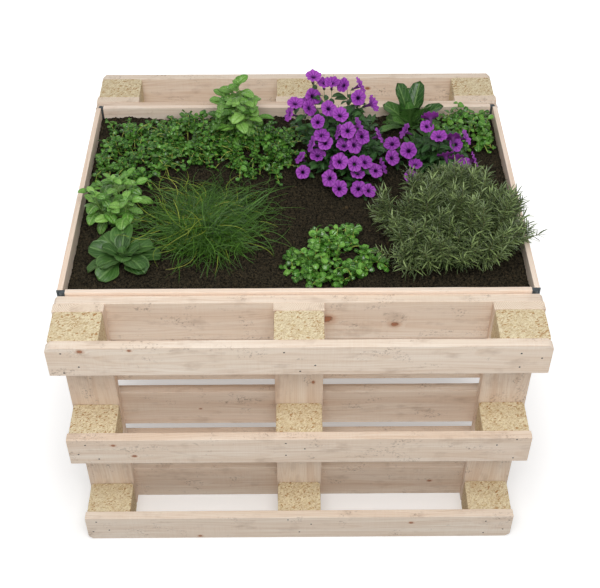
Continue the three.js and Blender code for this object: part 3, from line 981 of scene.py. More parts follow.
def stems(foliage, paths, radii, rng, sides=5):
    """Round stems along paths of (k, m, 3) points, tapering to 0.6 of their radius."""
    paths = np.asarray(paths, float)
    count, length = paths.shape[:2]
    tangents = unit(np.gradient(paths, axis=1))
    reference = np.where(np.abs(tangents[..., 2:]) < 0.9, [0.0, 0.0, 1.0], [1.0, 0.0, 0.0])
    side = unit(np.cross(tangents, reference))
    other = np.cross(tangents, side)
    taper = np.linspace(1, 0.6, length)[None] * np.broadcast_to(radii, (count,))[:, None]
    turns = np.linspace(0, 2 * math.pi, sides + 1)[:-1]
    ring = (
        side[:, :, None] * np.cos(turns)[None, None, :, None]
        + other[:, :, None] * np.sin(turns)[None, None, :, None]
    )
    points = paths[:, :, None] + ring * taper[..., None, None]
    points = points.reshape(count, length * sides, 3)
    ends = np.stack([paths[:, 0], paths[:, -1]], 1)
    points = np.concatenate([points, ends], 1)
    quads = tube_faces(length, sides)
    first, last = length * sides, length * sides + 1
    here = np.arange(sides)
    ahead = (here + 1) % sides
    top = (length - 1) * sides
    fans = np.concatenate([
        np.stack([np.full(sides, first), ahead, here], -1),
        np.stack([np.full(sides, last), top + here, top + ahead], -1),
    ])
    blade = np.zeros((length * sides + 2, 3))
    blade[: length * sides, 1] = np.repeat(np.linspace(0, 1, length), sides)
    tone = rng.uniform(0, 1, (count, 3))
    start = foliage.count
    foliage.add(points, quads, blade, tone)
    offset = start + np.arange(count)[:, None, None] * points.shape[1]
    foliage.faces.append((fans[None] + offset).reshape(-1, 3))


def curve(start, end, sag, points):
    """A path from start to end, pushed sideways in its middle by sag."""
    share = np.linspace(0, 1, points)[:, None]
    start, end, sag = np.array(start, float), np.array(end, float), np.array(sag, float)
    return start + (end - start) * share + sag * 4 * share * (1 - share)


def along_path(path, share):
    """The point at a share of the way along a path."""
    along = share * (len(path) - 1)
    low = min(int(along), len(path) - 2)
    return path[low] + (path[low + 1] - path[low]) * (along - low)


def flat_direction(turn, rise):
    """A unit direction from its turn around Z and its rise above the horizon."""
    turn, rise = np.asarray(turn, float), np.asarray(rise, float)
    return np.stack([np.cos(turn) * np.cos(rise), np.sin(turn) * np.cos(rise), np.sin(rise)], -1)


def leaf_material(name, dark, middle, light, rib, gloss=0.42, veins=7.0, vein_tilt=1.4, blister=220,
                  depth=0.5, edge=None, tip=None):
    """A leaf: midrib, side veins and small blisters, with its own shade from leaf to leaf."""
    m = Shader(name)
    u, v, front = m.split(m.attribute("blade"))
    tone = m.split(m.attribute("tone"))
    place = m.place()
    out = abs(u)
    mottle = m.noise(place, 95, 3, 0.6)
    fine = m.noise(place, blister * 2, 2, 0.6)
    shade = tone[0] * 0.75 + m.fit(mottle, 0.3, 0.7, 0, 0.3)
    colour = m.mix(m.fit(shade, 0.05, 0.55), dark, middle)
    colour = m.mix(m.fit(shade, 0.55, 1.1), colour, light)
    colour = m.mix(m.fit(tone[1], 0.55, 1, 0, 0.35), colour, m.mix(0.5, light, rib))
    phase = v * veins - out * vein_tilt
    wave = m.sine(phase * (2 * math.pi))
    side_vein = m.fit(wave, 0.78, 1.0)
    midrib = m.fit(out, 0.03, 0.14, 1, 0)
    colour = m.mix(side_vein * 0.32, colour, rib)
    colour = m.mix(midrib * 0.6, colour, rib)
    if edge is not None:
        colour = m.mix(m.fit(out, 0.8, 1.0, 0, 0.6), colour, edge)
    if tip is not None:
        colour = m.mix(m.fit(v, 0.5, 1.0, 0, 0.5), colour, tip)
    pale = m.mix(0.5, m.mix(0.45, colour, rib), light)
    colour = m.mix(m.fit(front, 0.4, 0.6, 0.75, 0), colour, pale)
    colour = m.mix(m.fit(fine, 0.55, 0.8, 0, 0.22), colour, dark)
    rough = m.fit(mottle, 0.3, 0.7, gloss - 0.08, gloss + 0.12)
    puffed, _ = m.voronoi(place, blister)
    height = puffed * -0.3 - (side_vein + midrib) * 0.5
    return m.finish(colour, height, 0.8 * MM, depth, roughness=rough, specular_ior_level=0.5)


def stem_material(name, low, high):
    m = Shader(name)
    _, v, _ = m.split(m.attribute("blade"))
    tone = m.split(m.attribute("tone"))
    place = m.place()
    streak = m.noise(place, (240, 240, 60), 3, 0.6)
    share = v * 0.5 + tone[0] * 0.5
    colour = m.mix(share, low, high)
    colour = m.mix(m.fit(streak, 0.5, 0.75, 0, 0.3), colour, low)
    return m.finish(
        colour, streak, 0.3 * MM, 0.4,
        roughness=m.fit(streak, 0.3, 0.7, 0.45, 0.65), specular_ior_level=0.4,
    )


def soil_at(x, y):
    return float(soil_height(x, y))


# Basil: upright shoots with crossed pairs of puffed, glossy leaves.
basil_look = leaf_material(
    "basil_look", srgb(52, 96, 26), srgb(92, 146, 50), srgb(142, 190, 88), srgb(176, 212, 130),
    gloss=0.3, veins=6.5, blister=130, depth=0.5,
)
basil_stem_look = stem_material("basil_stem_look", srgb(92, 120, 58), srgb(132, 162, 84))


def basil(name, seed, centre, reach, height, shoots, leaf, node, lean=(0, 0)):
    rng = np.random.default_rng(seed)
    blades, stalks = Foliage(), Foliage()
    bases, directions, ups, sizes, paths, twigs = [], [], [], [], [], []
    for i in range(shoots):
        turn = 2 * math.pi * (i + rng.uniform(-0.3, 0.3)) / shoots
        out = 0.0 if i == 0 else rng.uniform(0.45, 1.0)
        tall = height * (1.0 if i == 0 else rng.uniform(0.5, 0.9))
        foot_reach = 0.12 * reach
        foot = np.array([centre[0] + foot_reach * math.cos(turn), centre[1] + foot_reach * math.sin(turn)])
        foot = np.array([*foot, soil_at(*foot) - 3 * MM])
        head = np.array([
            centre[0] + reach * out * 0.72 * math.cos(turn) + lean[0],
            centre[1] + reach * out * 0.72 * math.sin(turn) + lean[1],
            soil_high[2] + tall,
        ])
        path = curve(foot, head, np.array([math.cos(turn), math.sin(turn), 0]) * reach * 0.1, 9)
        paths.append(path)
        pairs = max(3, int(tall / (26 * MM)))
        spin = rng.uniform(0, math.pi)
        for k in range(pairs):
            share = 0.24 + 0.76 * k / (pairs - 1)
            point = along_path(path, share)
            top = share > 0.93
            size = leaf * (0.62 if top else 1.0 - 0.32 * abs(share - 0.6) * 2) * rng.uniform(0.78, 1.12)
            for half in (0, 1):
                azimuth = spin + k * math.pi / 2 + half * math.pi + rng.uniform(-0.3, 0.3)
                rise = rng.uniform(0.15, 0.55) if not top else rng.uniform(0.4, 0.8)
                if share < 0.4:
                    rise = rng.uniform(-0.15, 0.3)
                direction = flat_direction(azimuth, rise)
                stalk = size * 0.22
                tip = point + direction * stalk
                twigs.append(curve(point, tip, (0, 0, 0), 3))
                bases.append(tip - direction * 0.5 * MM)
                directions.append(direction)
                ups.append((0, 0, 1))
                sizes.append(size)
        for half in range(4):
            azimuth = spin + half * math.pi / 2 + 0.6
            bases.append(path[-1])
            directions.append(flat_direction(azimuth, rng.uniform(0.7, 1.15)))
            ups.append((-math.cos(azimuth) * 0.5, -math.sin(azimuth) * 0.5, 1))
            sizes.append(leaf * rng.uniform(0.28, 0.42))
    sizes = np.array(sizes)
    leaves(blades, bases, directions, ups, sizes, sizes * rng.uniform(0.62, 0.78, len(sizes)), rng,
           shape=oval, bend=0.95, fold=0.06, ripple=0.05, puff=0.3, rows=10, columns=8, twist=0.35)
    stems(stalks, paths, 1.9 * MM, rng, 6)
    stems(stalks, twigs, 0.9 * MM, rng, 5)
    blades.make(f"{name}_leaves", basil_look, "leaf_green", node)
    stalks.make(f"{name}_stems", basil_stem_look, "leaf_green", node)


basil("basil_left", 61, (-480 * MM, -82 * MM), 98 * MM, 140 * MM, 11, 52 * MM, "basil_left")
basil("basil_rear", 62, (-168 * MM, 290 * MM), 96 * MM, 176 * MM, 12, 54 * MM, "herb_mat_back", (0.0, 8 * MM))


# Broad-leaved rosettes.
broad_look = leaf_material(
    "broad_leaf_look", srgb(34, 66, 22), srgb(56, 94, 38), srgb(84, 128, 58), srgb(124, 160, 94),
    gloss=0.36, veins=5.0, vein_tilt=3.4, blister=120, depth=0.6, edge=srgb(118, 156, 88),
)
chard_look = leaf_material(
    "upright_leaf_look", srgb(34, 72, 24), srgb(56, 100, 38), srgb(88, 138, 60), srgb(140, 176, 104),
    gloss=0.3, veins=7.0, vein_tilt=1.8, blister=110, depth=0.6,
)


def rosette(name, seed, centre, rings, material, node, ripple=0.05, puff=0.08):
    """Leaves in rings: each ring gives its count, length, width, rise and the bend of its leaves."""
    rng = np.random.default_rng(seed)
    blades = Foliage()
    spin = rng.uniform(0, 6)
    for count, length, width, rise, bend in rings:
        turns = spin + 2 * math.pi * (np.arange(count) + rng.uniform(-0.22, 0.22, count)) / count
        rises = rise + rng.uniform(-0.12, 0.12, count)
        directions = flat_direction(turns, rises)
        bases = np.array([[*centre, soil_at(*centre) + 2 * MM]]) + directions * 4 * MM
        lengths = length * rng.uniform(0.88, 1.12, count)
        leaves(blades, bases, directions, np.tile([0, 0, 1.0], (count, 1)), lengths,
               width * rng.uniform(0.9, 1.1, count), rng, shape=spoon, bend=bend, fold=0.2,
               ripple=ripple, puff=puff, rows=12, columns=8, twist=0.45)
        spin += math.pi / max(count, 1) + 0.3
    blades.make(f"{name}_leaves", material, "leaf_green", node)


rosette(
    "rosette_left", 63, (-452 * MM, -242 * MM),
    [
        (6, 100 * MM, 60 * MM, 0.38, 0.7),
        (5, 90 * MM, 62 * MM, 0.7, 0.75),
        (4, 72 * MM, 48 * MM, 1.0, 0.6),
        (3, 38 * MM, 22 * MM, 1.3, 0.4),
    ],
    broad_look, "broad_leaf_left",
)
rosette(
    "upright_back", 64, (335 * MM, 325 * MM),
    [
        (6, 92 * MM, 44 * MM, 0.3, 0.65),
        (5, 108 * MM, 54 * MM, 0.85, 0.5),
        (4, 128 * MM, 62 * MM, 1.2, 0.35),
        (3, 80 * MM, 34 * MM, 1.4, 0.3),
    ],
    chard_look, "herb_back_right", ripple=0.1,
)


# Creeping herbs: short shoots with pairs of small round leaves, some of them trailing.
creeper_look = leaf_material(
    "creeper_look", srgb(18, 50, 10), srgb(46, 98, 24), srgb(108, 168, 60), srgb(150, 198, 100),
    gloss=0.17, veins=4.0, blister=220, depth=0.2,
)
bright_creeper_look = leaf_material(
    "bright_creeper_look", srgb(26, 68, 12), srgb(62, 120, 30), srgb(126, 184, 70), srgb(160, 204, 110),
    gloss=0.17, veins=4.0, blister=200, depth=0.2,
)
creeper_stem_look = stem_material("creeper_stem_look", srgb(136, 154, 56), srgb(204, 208, 104))


def creeper(name, seed, patches, node, look, slot_name="leaf_pale_green"):
    """Each patch is (x, y, half width, half depth, height, shoots, leaf size)."""
    rng = np.random.default_rng(seed)
    blades, stalks = Foliage(), Foliage()
    bases, directions, sizes, paths = [], [], [], []
    for x, y, half_x, half_y, height, shoots, leaf in patches:
        for i in range(shoots):
            turn = rng.uniform(0, 2 * math.pi)
            share = math.sqrt(rng.uniform(0, 1))
            foot_x = x + half_x * 0.86 * share * math.cos(turn)
            foot_y = y + half_y * 0.86 * share * math.sin(turn)
            foot = np.array([foot_x, foot_y, soil_at(foot_x, foot_y) - 1 * MM])
            trailing = rng.uniform() < 0.4
            lean = turn + rng.uniform(-1.4, 1.4)
            run = (rng.uniform(44, 96) if trailing else rng.uniform(8, 26)) * MM
            dome = height * (1 - 0.6 * share**2) * rng.uniform(0.3, 1.15)
            rise = dome * (0.6 if trailing else 1.0)
            head = foot + np.array([run * math.cos(lean), run * math.sin(lean), rise])
            margin = leaf * 1.1
            foot[:2] = np.clip(foot[:2], soil_low[:2] + margin, soil_high[:2] - margin)
            head[:2] = np.clip(head[:2], soil_low[:2] + margin, soil_high[:2] - margin)
            path = curve(foot, head, (0, 0, 16 * MM if trailing else 2 * MM), 7)
            paths.append(path)
            pairs = max(2, int(np.linalg.norm(head - foot) / (leaf * (1.5 if trailing else 0.72))))
            spin = rng.uniform(0, math.pi)
            for k in range(pairs + 1):
                point = along_path(path, 0.35 + 0.65 * k / pairs)
                for half in (0, 1):
                    azimuth = spin + k * math.pi / 2 + half * math.pi + rng.uniform(-0.5, 0.5)
                    direction = flat_direction(azimuth, rng.uniform(-0.1, 0.75))
                    bases.append(point)
                    directions.append(direction)
                    sizes.append(leaf * rng.uniform(0.62, 1.2) * (0.75 if k == pairs else 1))
    sizes = np.array(sizes)
    ups = np.tile([0, 0, 1.0], (len(sizes), 1)) + rng.normal(0, 0.28, (len(sizes), 3))
    leaves(blades, bases, directions, ups, sizes, sizes * rng.uniform(0.72, 0.92, len(sizes)), rng,
           shape=roundish, bend=0.7, fold=0.12, ripple=0.0, puff=0.2, rows=5, columns=4, twist=0.6)
    stems(stalks, paths, 1.15 * MM, rng, 5)
    blades.make(f"{name}_leaves", look, slot_name, node)
    stalks.make(f"{name}_stems", creeper_stem_look, slot_name, node)


creeper(
    "herb_back",
    65,
    [
        (-468 * MM, 196 * MM, 108 * MM, 135 * MM, 66 * MM, 132, 17.5 * MM),
        (-310 * MM, 262 * MM, 112 * MM, 98 * MM, 80 * MM, 124, 17.5 * MM),
        (-105 * MM, 200 * MM, 92 * MM, 116 * MM, 70 * MM, 124, 17 * MM),
    ],
    "herb_mat_back",
    creeper_look,
)
creeper(
    "herb_right", 66, [(482 * MM, 285 * MM, 82 * MM, 88 * MM, 84 * MM, 52, 22 * MM)],
    "herb_back_right", bright_creeper_look, "leaf_green",
)
creeper(
    "herb_front", 67, [(80 * MM, -258 * MM, 118 * MM, 96 * MM, 74 * MM, 84, 22 * MM)],
    "herb_front", bright_creeper_look,
)


# Grass: fine arching blades from one crown.
grass_look = leaf_material(
    "grass_look", srgb(8, 28, 3), srgb(34, 74, 12), srgb(104, 154, 44), srgb(110, 150, 66),
    gloss=0.32, veins=0.0, blister=400, depth=0.1, tip=srgb(74, 120, 30),
)


def straw_material():
    m = Shader("straw_look")
    _, v, _ = m.split(m.attribute("blade"))
    tone = m.split(m.attribute("tone"))
    place = m.place()
    streak = m.noise(place, 150, 3, 0.6)
    colour = m.mix(tone[0], srgb(120, 150, 36), srgb(186, 192, 88))
    colour = m.mix(m.fit(v, 0, 0.5, 0.6, 0), colour, srgb(88, 112, 46))
    colour = m.mix(m.fit(streak, 0.5, 0.8, 0, 0.4), colour, srgb(134, 128, 60))
    return m.finish(
        colour, streak, 0.2 * MM, 0.3,
        roughness=m.fit(streak, 0.3, 0.7, 0.5, 0.7), specular_ior_level=0.35,
    )


straw_look = straw_material()


def grass(name, seed, centre, reach_x, reach_y, height, tufts, count, material, node, slender=1.0, curl=0.6):
    """Blades in loose tufts: those of one tuft leave together and arch over much the same way."""
    rng = np.random.default_rng(seed)
    blades = Foliage()
    tuft = rng.integers(0, tufts, count)
    turns = rng.uniform(0, 2 * math.pi, tufts)[tuft] + rng.normal(0, 0.55, count)
    shares = np.clip(rng.uniform(0.1, 1.0, tufts)[tuft] + rng.normal(0, 0.22, count), 0.05, 1.15)
    lifts = np.clip(rng.uniform(0.3, 1.0, tufts)[tuft] * rng.uniform(0.7, 1.15, count), 0.15, 1.1)
    spread = np.stack([rng.normal(0, 44, tufts), rng.normal(0, 36, tufts)], -1).clip(-85, 85)[tuft]
    foot = np.array(centre) + (spread + rng.normal(0, 10, (count, 2))) * MM
    foot = np.column_stack([foot, soil_height(foot[:, 0], foot[:, 1]) - 2 * MM])
    out_x, out_y = np.cos(turns) * reach_x * shares, np.sin(turns) * reach_y * shares
    run = np.hypot(out_x, out_y)
    lengths = np.hypot(run, height * lifts) * rng.uniform(0.95, 1.25, count)
    rises = np.clip(np.arctan2(height * lifts * 1.5, run), 0.25, 1.5)
    level = unit(np.stack([out_x, out_y, 0 * out_x], -1))
    upright = np.array([0.0, 0.0, 1.0])
    directions = level * np.cos(rises)[:, None] + upright * np.sin(rises)[:, None]
    ups = upright * np.cos(rises)[:, None] - level * np.sin(rises)[:, None]
    bends = rises * rng.uniform(0.9, 1.5, count)
    leaves(blades, foot, directions, ups, lengths, slender * rng.uniform(1.2, 2.1, count) * MM, rng,
           shape=blade_shape, bend=bends, fold=0.35, rows=14, columns=2, twist=0.6, sway=1.0, curl=curl)
    blades.make(name, material, "leaf_green", node)


GRASS_CENTRE = (-250 * MM, -138 * MM)
GRASS_BACK = (-232 * MM, -20 * MM)
STRAW_CENTRE = (-250 * MM, -95 * MM)
grass(
    "grass_blades", 68, GRASS_CENTRE, 155 * MM, 145 * MM, 118 * MM, 110, 1250, grass_look, "grass_tuft",
    slender=1.28, curl=0.9,
)
grass(
    "grass_sprawl", 71, GRASS_BACK, 165 * MM, 95 * MM, 62 * MM, 60, 420, grass_look, "grass_tuft",
    slender=0.95, curl=1.2,
)
grass(
    "grass_straw", 69, STRAW_CENTRE, 190 * MM, 165 * MM, 130 * MM, 90, 130, straw_look, "grass_tuft",
    slender=1.15, curl=1.25,
)


# Rosemary: many upright shoots, feathered with narrow leaves.
rosemary_look = leaf_material(
    "rosemary_look", srgb(15, 31, 8), srgb(52, 74, 26), srgb(158, 182, 108), srgb(190, 206, 156),
    gloss=0.28, veins=0.0, blister=300, depth=0.15,
)
rosemary_stem_look = stem_material("rosemary_stem_look", srgb(88, 74, 50), srgb(104, 112, 66))


GOLDEN_ANGLE = math.pi * (3 - math.sqrt(5))


def rosemary(name, seed, centre, reach, height, shoots, node):
    rng = np.random.default_rng(seed)
    blades, stalks = Foliage(), Foliage()
    bases, directions, ups, sizes, paths = [], [], [], [], []
    clumps = 26
    clump_turns = 2.57 + GOLDEN_ANGLE * np.arange(clumps) + rng.normal(0, 0.2, clumps)
    clump_shares = np.sqrt((np.arange(clumps) + 0.5) / clumps)
    clump_heights = rng.uniform(0.72, 1.1, clumps)
    for i in range(shoots):
        clump = i % clumps
        turn = clump_turns[clump] + rng.normal(0, 0.12)
        share = float(np.clip(clump_shares[clump] + rng.normal(0, 0.055), 0.03, 1.1))
        foot = np.array([
            centre[0] + reach[0] * 0.42 * share * math.cos(turn),
            centre[1] + reach[1] * 0.42 * share * math.sin(turn),
        ])
        foot = np.array([*foot, soil_at(*foot) - 2 * MM])
        tall = height * (1.0 - 0.5 * share**2.2) * clump_heights[clump] * rng.uniform(0.8, 1.06)
        # The bush is narrower at its back, and that part stands further to the left.
        behind = max(share * math.sin(turn), 0.0)
        across = reach[0] * 0.9 * share * math.cos(turn) * (1 - 0.35 * behind) - 40 * MM * behind
        head = np.array([
            centre[0] + across + rng.normal(0, 7) * MM,
            centre[1] + reach[1] * 0.9 * share * math.sin(turn) + rng.normal(0, 7) * MM,
            soil_high[2] + tall,
        ])
        outward = np.array([math.cos(turn), math.sin(turn), 0.0])
        path = curve(foot, head, outward * tall * 0.14 * share, 9)
        paths.append(path)
        needles = int(tall / (3.0 * MM))
        along = np.linspace(0.22, 1.0, needles) * (len(path) - 1)
        low_index = np.minimum(along.astype(int), len(path) - 2)
        points = path[low_index] + (path[low_index + 1] - path[low_index]) * (along - low_index)[:, None]
        tangent = unit(path[low_index + 1] - path[low_index])
        spin = np.arange(needles) * 2.4 + rng.uniform(0, 6)
        side = unit(np.cross(tangent, [0.3, 0.2, 1.0]))
        other = np.cross(tangent, side)
        radial = side * np.cos(spin)[:, None] + other * np.sin(spin)[:, None]
        lift = 0.75 + 0.9 * (np.linspace(0, 1, needles) ** 3) + rng.uniform(-0.3, 0.3, needles)
        lift = np.clip(lift, 0.4, 2.2)
        bases.append(points)
        directions.append(radial + tangent * lift[:, None])
        ups.append(tangent * 1.0 - radial * 0.4 + np.array([0, 0, 0.4]))
        sizes.append(rng.uniform(22, 42, needles) * (1 - 0.2 * np.linspace(0, 1, needles) ** 4) * MM)
    bases, directions, ups = (np.concatenate(part) for part in (bases, directions, ups))
    sizes = np.concatenate(sizes)
    leaves(blades, bases, directions, ups, sizes, rng.uniform(2.5, 4.2, len(sizes)) * MM, rng,
           shape=needle, bend=0.45, fold=0.3, rows=5, columns=2, twist=0.9, sway=0.6)
    stems(stalks, paths, 1.5 * MM, rng, 5)
    blades.make(f"{name}_leaves", rosemary_look, "leaf_grey_green", node)
    stalks.make(f"{name}_stems", rosemary_stem_look, "leaf_grey_green", node)


rosemary("rosemary", 70, (394 * MM, -190 * MM), (228 * MM, 200 * MM), 238 * MM, 210, "rosemary")


# Petunias ------------------------------------------------------------------------------------

FACINGS = {
    "f": (0.05, -0.62, 0.78), "fl": (-0.42, -0.52, 0.7), "fr": (0.42, -0.52, 0.7),
    "l": (-0.85, -0.05, 0.45), "r": (0.82, -0.1, 0.5), "u": (0.05, -0.2, 0.97), "b": (-0.1, 0.75, 0.5),
}

# Flowers: (across, back, up from the soil) in centimetres from the bush's middle, and facing.
BUSHES = [
    ("petunia_tall", (135 * MM, 165 * MM), [
        (-9, 5, 26, "u"), (-6, 5, 24, "u"), (-9, 4, 20, "fr"), (-4, 5, 24, "u"), (-1, 5, 23, "fl"),
        (4, 5, 23, "r"), (3, -1, 23, "f"), (7, -1, 21, "r"), (-14, 4, 18, "u"), (-16, 3, 15, "l"),
        (-11, 4, 18, "fl"), (-10, 0, 19, "fr"), (-5, -3, 21, "f"), (-2, -6, 21, "u"),
        (-8, -5, 18, "f"), (0, -9, 18, "f"), (3, -8, 19, "r"), (4, -9, 16, "fr"), (-3, -8, 17, "l"),
        (-6, -9, 14, "f"), (-7, -8, 16, "u"), (-10, -8, 13, "l"), (-1, -10, 14, "u"),
        (2, -10, 14, "fr"), (9, -7, 15, "r"), (-8, -9, 10, "u"), (-13, -6, 7, "l"),
        (-12, -9, 4, "f"), (-2, -12, 10, "f"), (2, -12, 9, "f"), (5, -11, 9, "fr"), (-4, -11, 9, "l"),
        (-5, -13, 5, "fl"), (-2, -15, 3, "f"), (3, -15, 3, "f"), (6, -16, 3, "fr"), (3, -12, 6, "u"),
        (8, -11, 6, "f"), (10, -9, 6, "r"),
    ]),
    ("petunia_low", (385 * MM, 165 * MM), [
        (-12, -4, 5, "fr"), (-12, 0, 7, "u"), (-3, -3, 15, "f"), (-2, 0, 16, "b"), (-9, -1, 12, "l"),
        (-8, -6, 9, "f"), (0, -6, 14, "u"), (4, -5, 13, "b"), (5, -6, 11, "f"), (8, -4, 12, "r"),
        (-6, -8, 6, "u"), (-7, -10, 3, "f"), (2, -8, 9, "b"), (5, -8, 8, "b"), (6, -9, 5, "f"),
        (8, -7, 5, "fr"), (11, -5, 5, "r"),
    ]),
]

petunia_leaf_look = leaf_material(
    "petunia_leaf_look", srgb(30, 62, 28), srgb(44, 84, 38), srgb(66, 110, 52), srgb(100, 140, 80),
    gloss=0.45, veins=5.0, blister=260, depth=0.4,
)
petunia_stem_look = stem_material("petunia_stem_look", srgb(58, 88, 40), srgb(94, 128, 60))


def petal_material():
    """A petunia: blackish-purple throat, veins that fan out from it and a paler ruffled rim."""
    m = Shader("petal_look")
    radial, turn, front = m.split(m.attribute("blade"))
    tone = m.split(m.attribute("tone"))
    place = m.place()
    mottle = m.noise(place, 160, 3, 0.6)
    shade = tone[0] * 0.6 + m.fit(mottle, 0.3, 0.7, 0, 0.4)
    colour = m.mix(shade, srgb(140, 50, 162), srgb(184, 86, 202))
    colour = m.mix(m.fit(radial, 0.75, 1.0, 0, 0.3), colour, srgb(202, 112, 216))
    fan = abs(m.sine(turn * (math.pi * 5)))
    vein = m.fit(fan, 0.75, 1.0) * m.fit(radial, 0.3, 0.9, 1, 0.25)
    thin = abs(m.sine(turn * (math.pi * 20)))
    vein = m.larger(vein, m.fit(thin, 0.7, 1.0, 0, 0.55) * m.fit(radial, 0.3, 0.9, 1, 0.3))
    # Painted shade: darker radial bands across the lobes, fading towards the rim.
    painted_groove_shade = m.fit(fan, 0.35, 0.9) * m.fit(radial, 0.35, 1.0, 1, 0.4)
    colour = m.mix(painted_groove_shade * 0.35, colour, srgb(110, 32, 132))
    colour = m.mix(vein * 0.8, colour, srgb(84, 20, 104))
    throat = m.fit(radial - fan * 0.06, 0.16, 0.46, 1, 0, smooth=True)
    colour = m.mix(throat, colour, srgb(50, 18, 70))
    outside = m.mix(m.fit(radial, 0.2, 0.7), srgb(96, 40, 106), srgb(132, 46, 140))
    colour = m.mix(m.fit(front, 0.4, 0.6, 0.9, 0), colour, outside)
    return m.finish(
        colour, mottle * 0.6 - vein, 0.5 * MM, 0.4,
        roughness=m.fit(mottle, 0.3, 0.7, 0.5, 0.7), specular_ior_level=0.3,
    )


petal_look = petal_material()
FLOWER_RINGS = 13
FLOWER_SEGMENTS = 40
FLOWER_RADIUS = 22 * MM
TUBE_LENGTH = 26 * MM


def flowers(petals, centres, facings, scales, rng):
    """Funnel-shaped flowers with five ruffled lobes; centres are the middles of their open rims."""
    count = len(centres)
    share = np.linspace(0, 1, FLOWER_RINGS)
    turns = np.linspace(0, 2 * math.pi, FLOWER_SEGMENTS, endpoint=False)
    tube = np.clip(share / 0.42, 0, 1)
    limb = np.clip((share - 0.42) / 0.58, 0, 1)
    radius = (1.4 + 4.2 * tube**1.3) * MM + (FLOWER_RADIUS - 5.6 * MM) * limb
    height = -TUBE_LENGTH * (1 - tube) - 4.5 * MM * (1 - limb) ** 2 * tube
    spin = rng.uniform(0, 2 * math.pi, (count, 1, 1))
    angle = turns[None, None, :]
    notch = np.abs(np.cos(2.5 * angle)) ** 0.55
    lobe = 1 - 0.14 * (1 - notch) * limb[None, :, None] ** 1.5
    uneven = 1 + 0.05 * np.sin(2 * angle + spin) * limb[None, :, None]
    r = radius[None, :, None] * lobe * uneven
    ruffle = 2.2 * MM * np.sin(10 * angle + spin * 3) * limb[None, :, None] ** 2
    cup = rng.uniform(-3.5, 3.0, (count, 1, 1)) * MM * limb[None, :, None] ** 2
    h = height[None, :, None] + ruffle + cup - 1.6 * MM * (1 - notch) * limb[None, :, None]
    facing = unit(facings)
    side = unit(np.cross(facing, [0.13, 0.31, 0.94]))
    other = np.cross(facing, side)
    turned = angle + spin
    flat = (
        side[:, None, None] * np.cos(turned)[..., None] + other[:, None, None] * np.sin(turned)[..., None]
    )
    size = np.asarray(scales)[:, None, None, None]
    points = centres[:, None, None] + (flat * r[..., None] + facing[:, None, None] * h[..., None]) * size
    slope = np.gradient(height) / np.maximum(np.gradient(radius), 1e-6)
    tilt = np.arctan(slope)[None, :, None, None]
    normals = facing[:, None, None] * np.cos(tilt) - flat * np.sin(tilt)
    total = FLOWER_RINGS * FLOWER_SEGMENTS
    quads = tube_faces(FLOWER_RINGS, FLOWER_SEGMENTS)
    inner = np.arange(FLOWER_SEGMENTS)
    outer = (FLOWER_RINGS - 1) * FLOWER_SEGMENTS + inner
    blade = np.zeros((count, FLOWER_RINGS, FLOWER_SEGMENTS, 3))
    blade[..., 0] = share[None, :, None] * 0.72 + 0.28 * (share**2)[None, :, None]
    blade[..., 1] = (np.abs(np.linspace(0, 2, FLOWER_SEGMENTS, endpoint=False) - 1))[None, None, :]
    petals.sheets(
        points.reshape(count, total, 3), normals.reshape(count, total, 3), quads[:, ::-1],
        [outer, inner[::-1]], blade.reshape(count, total, 3), rng.uniform(0, 1, (count, 3)),
    )


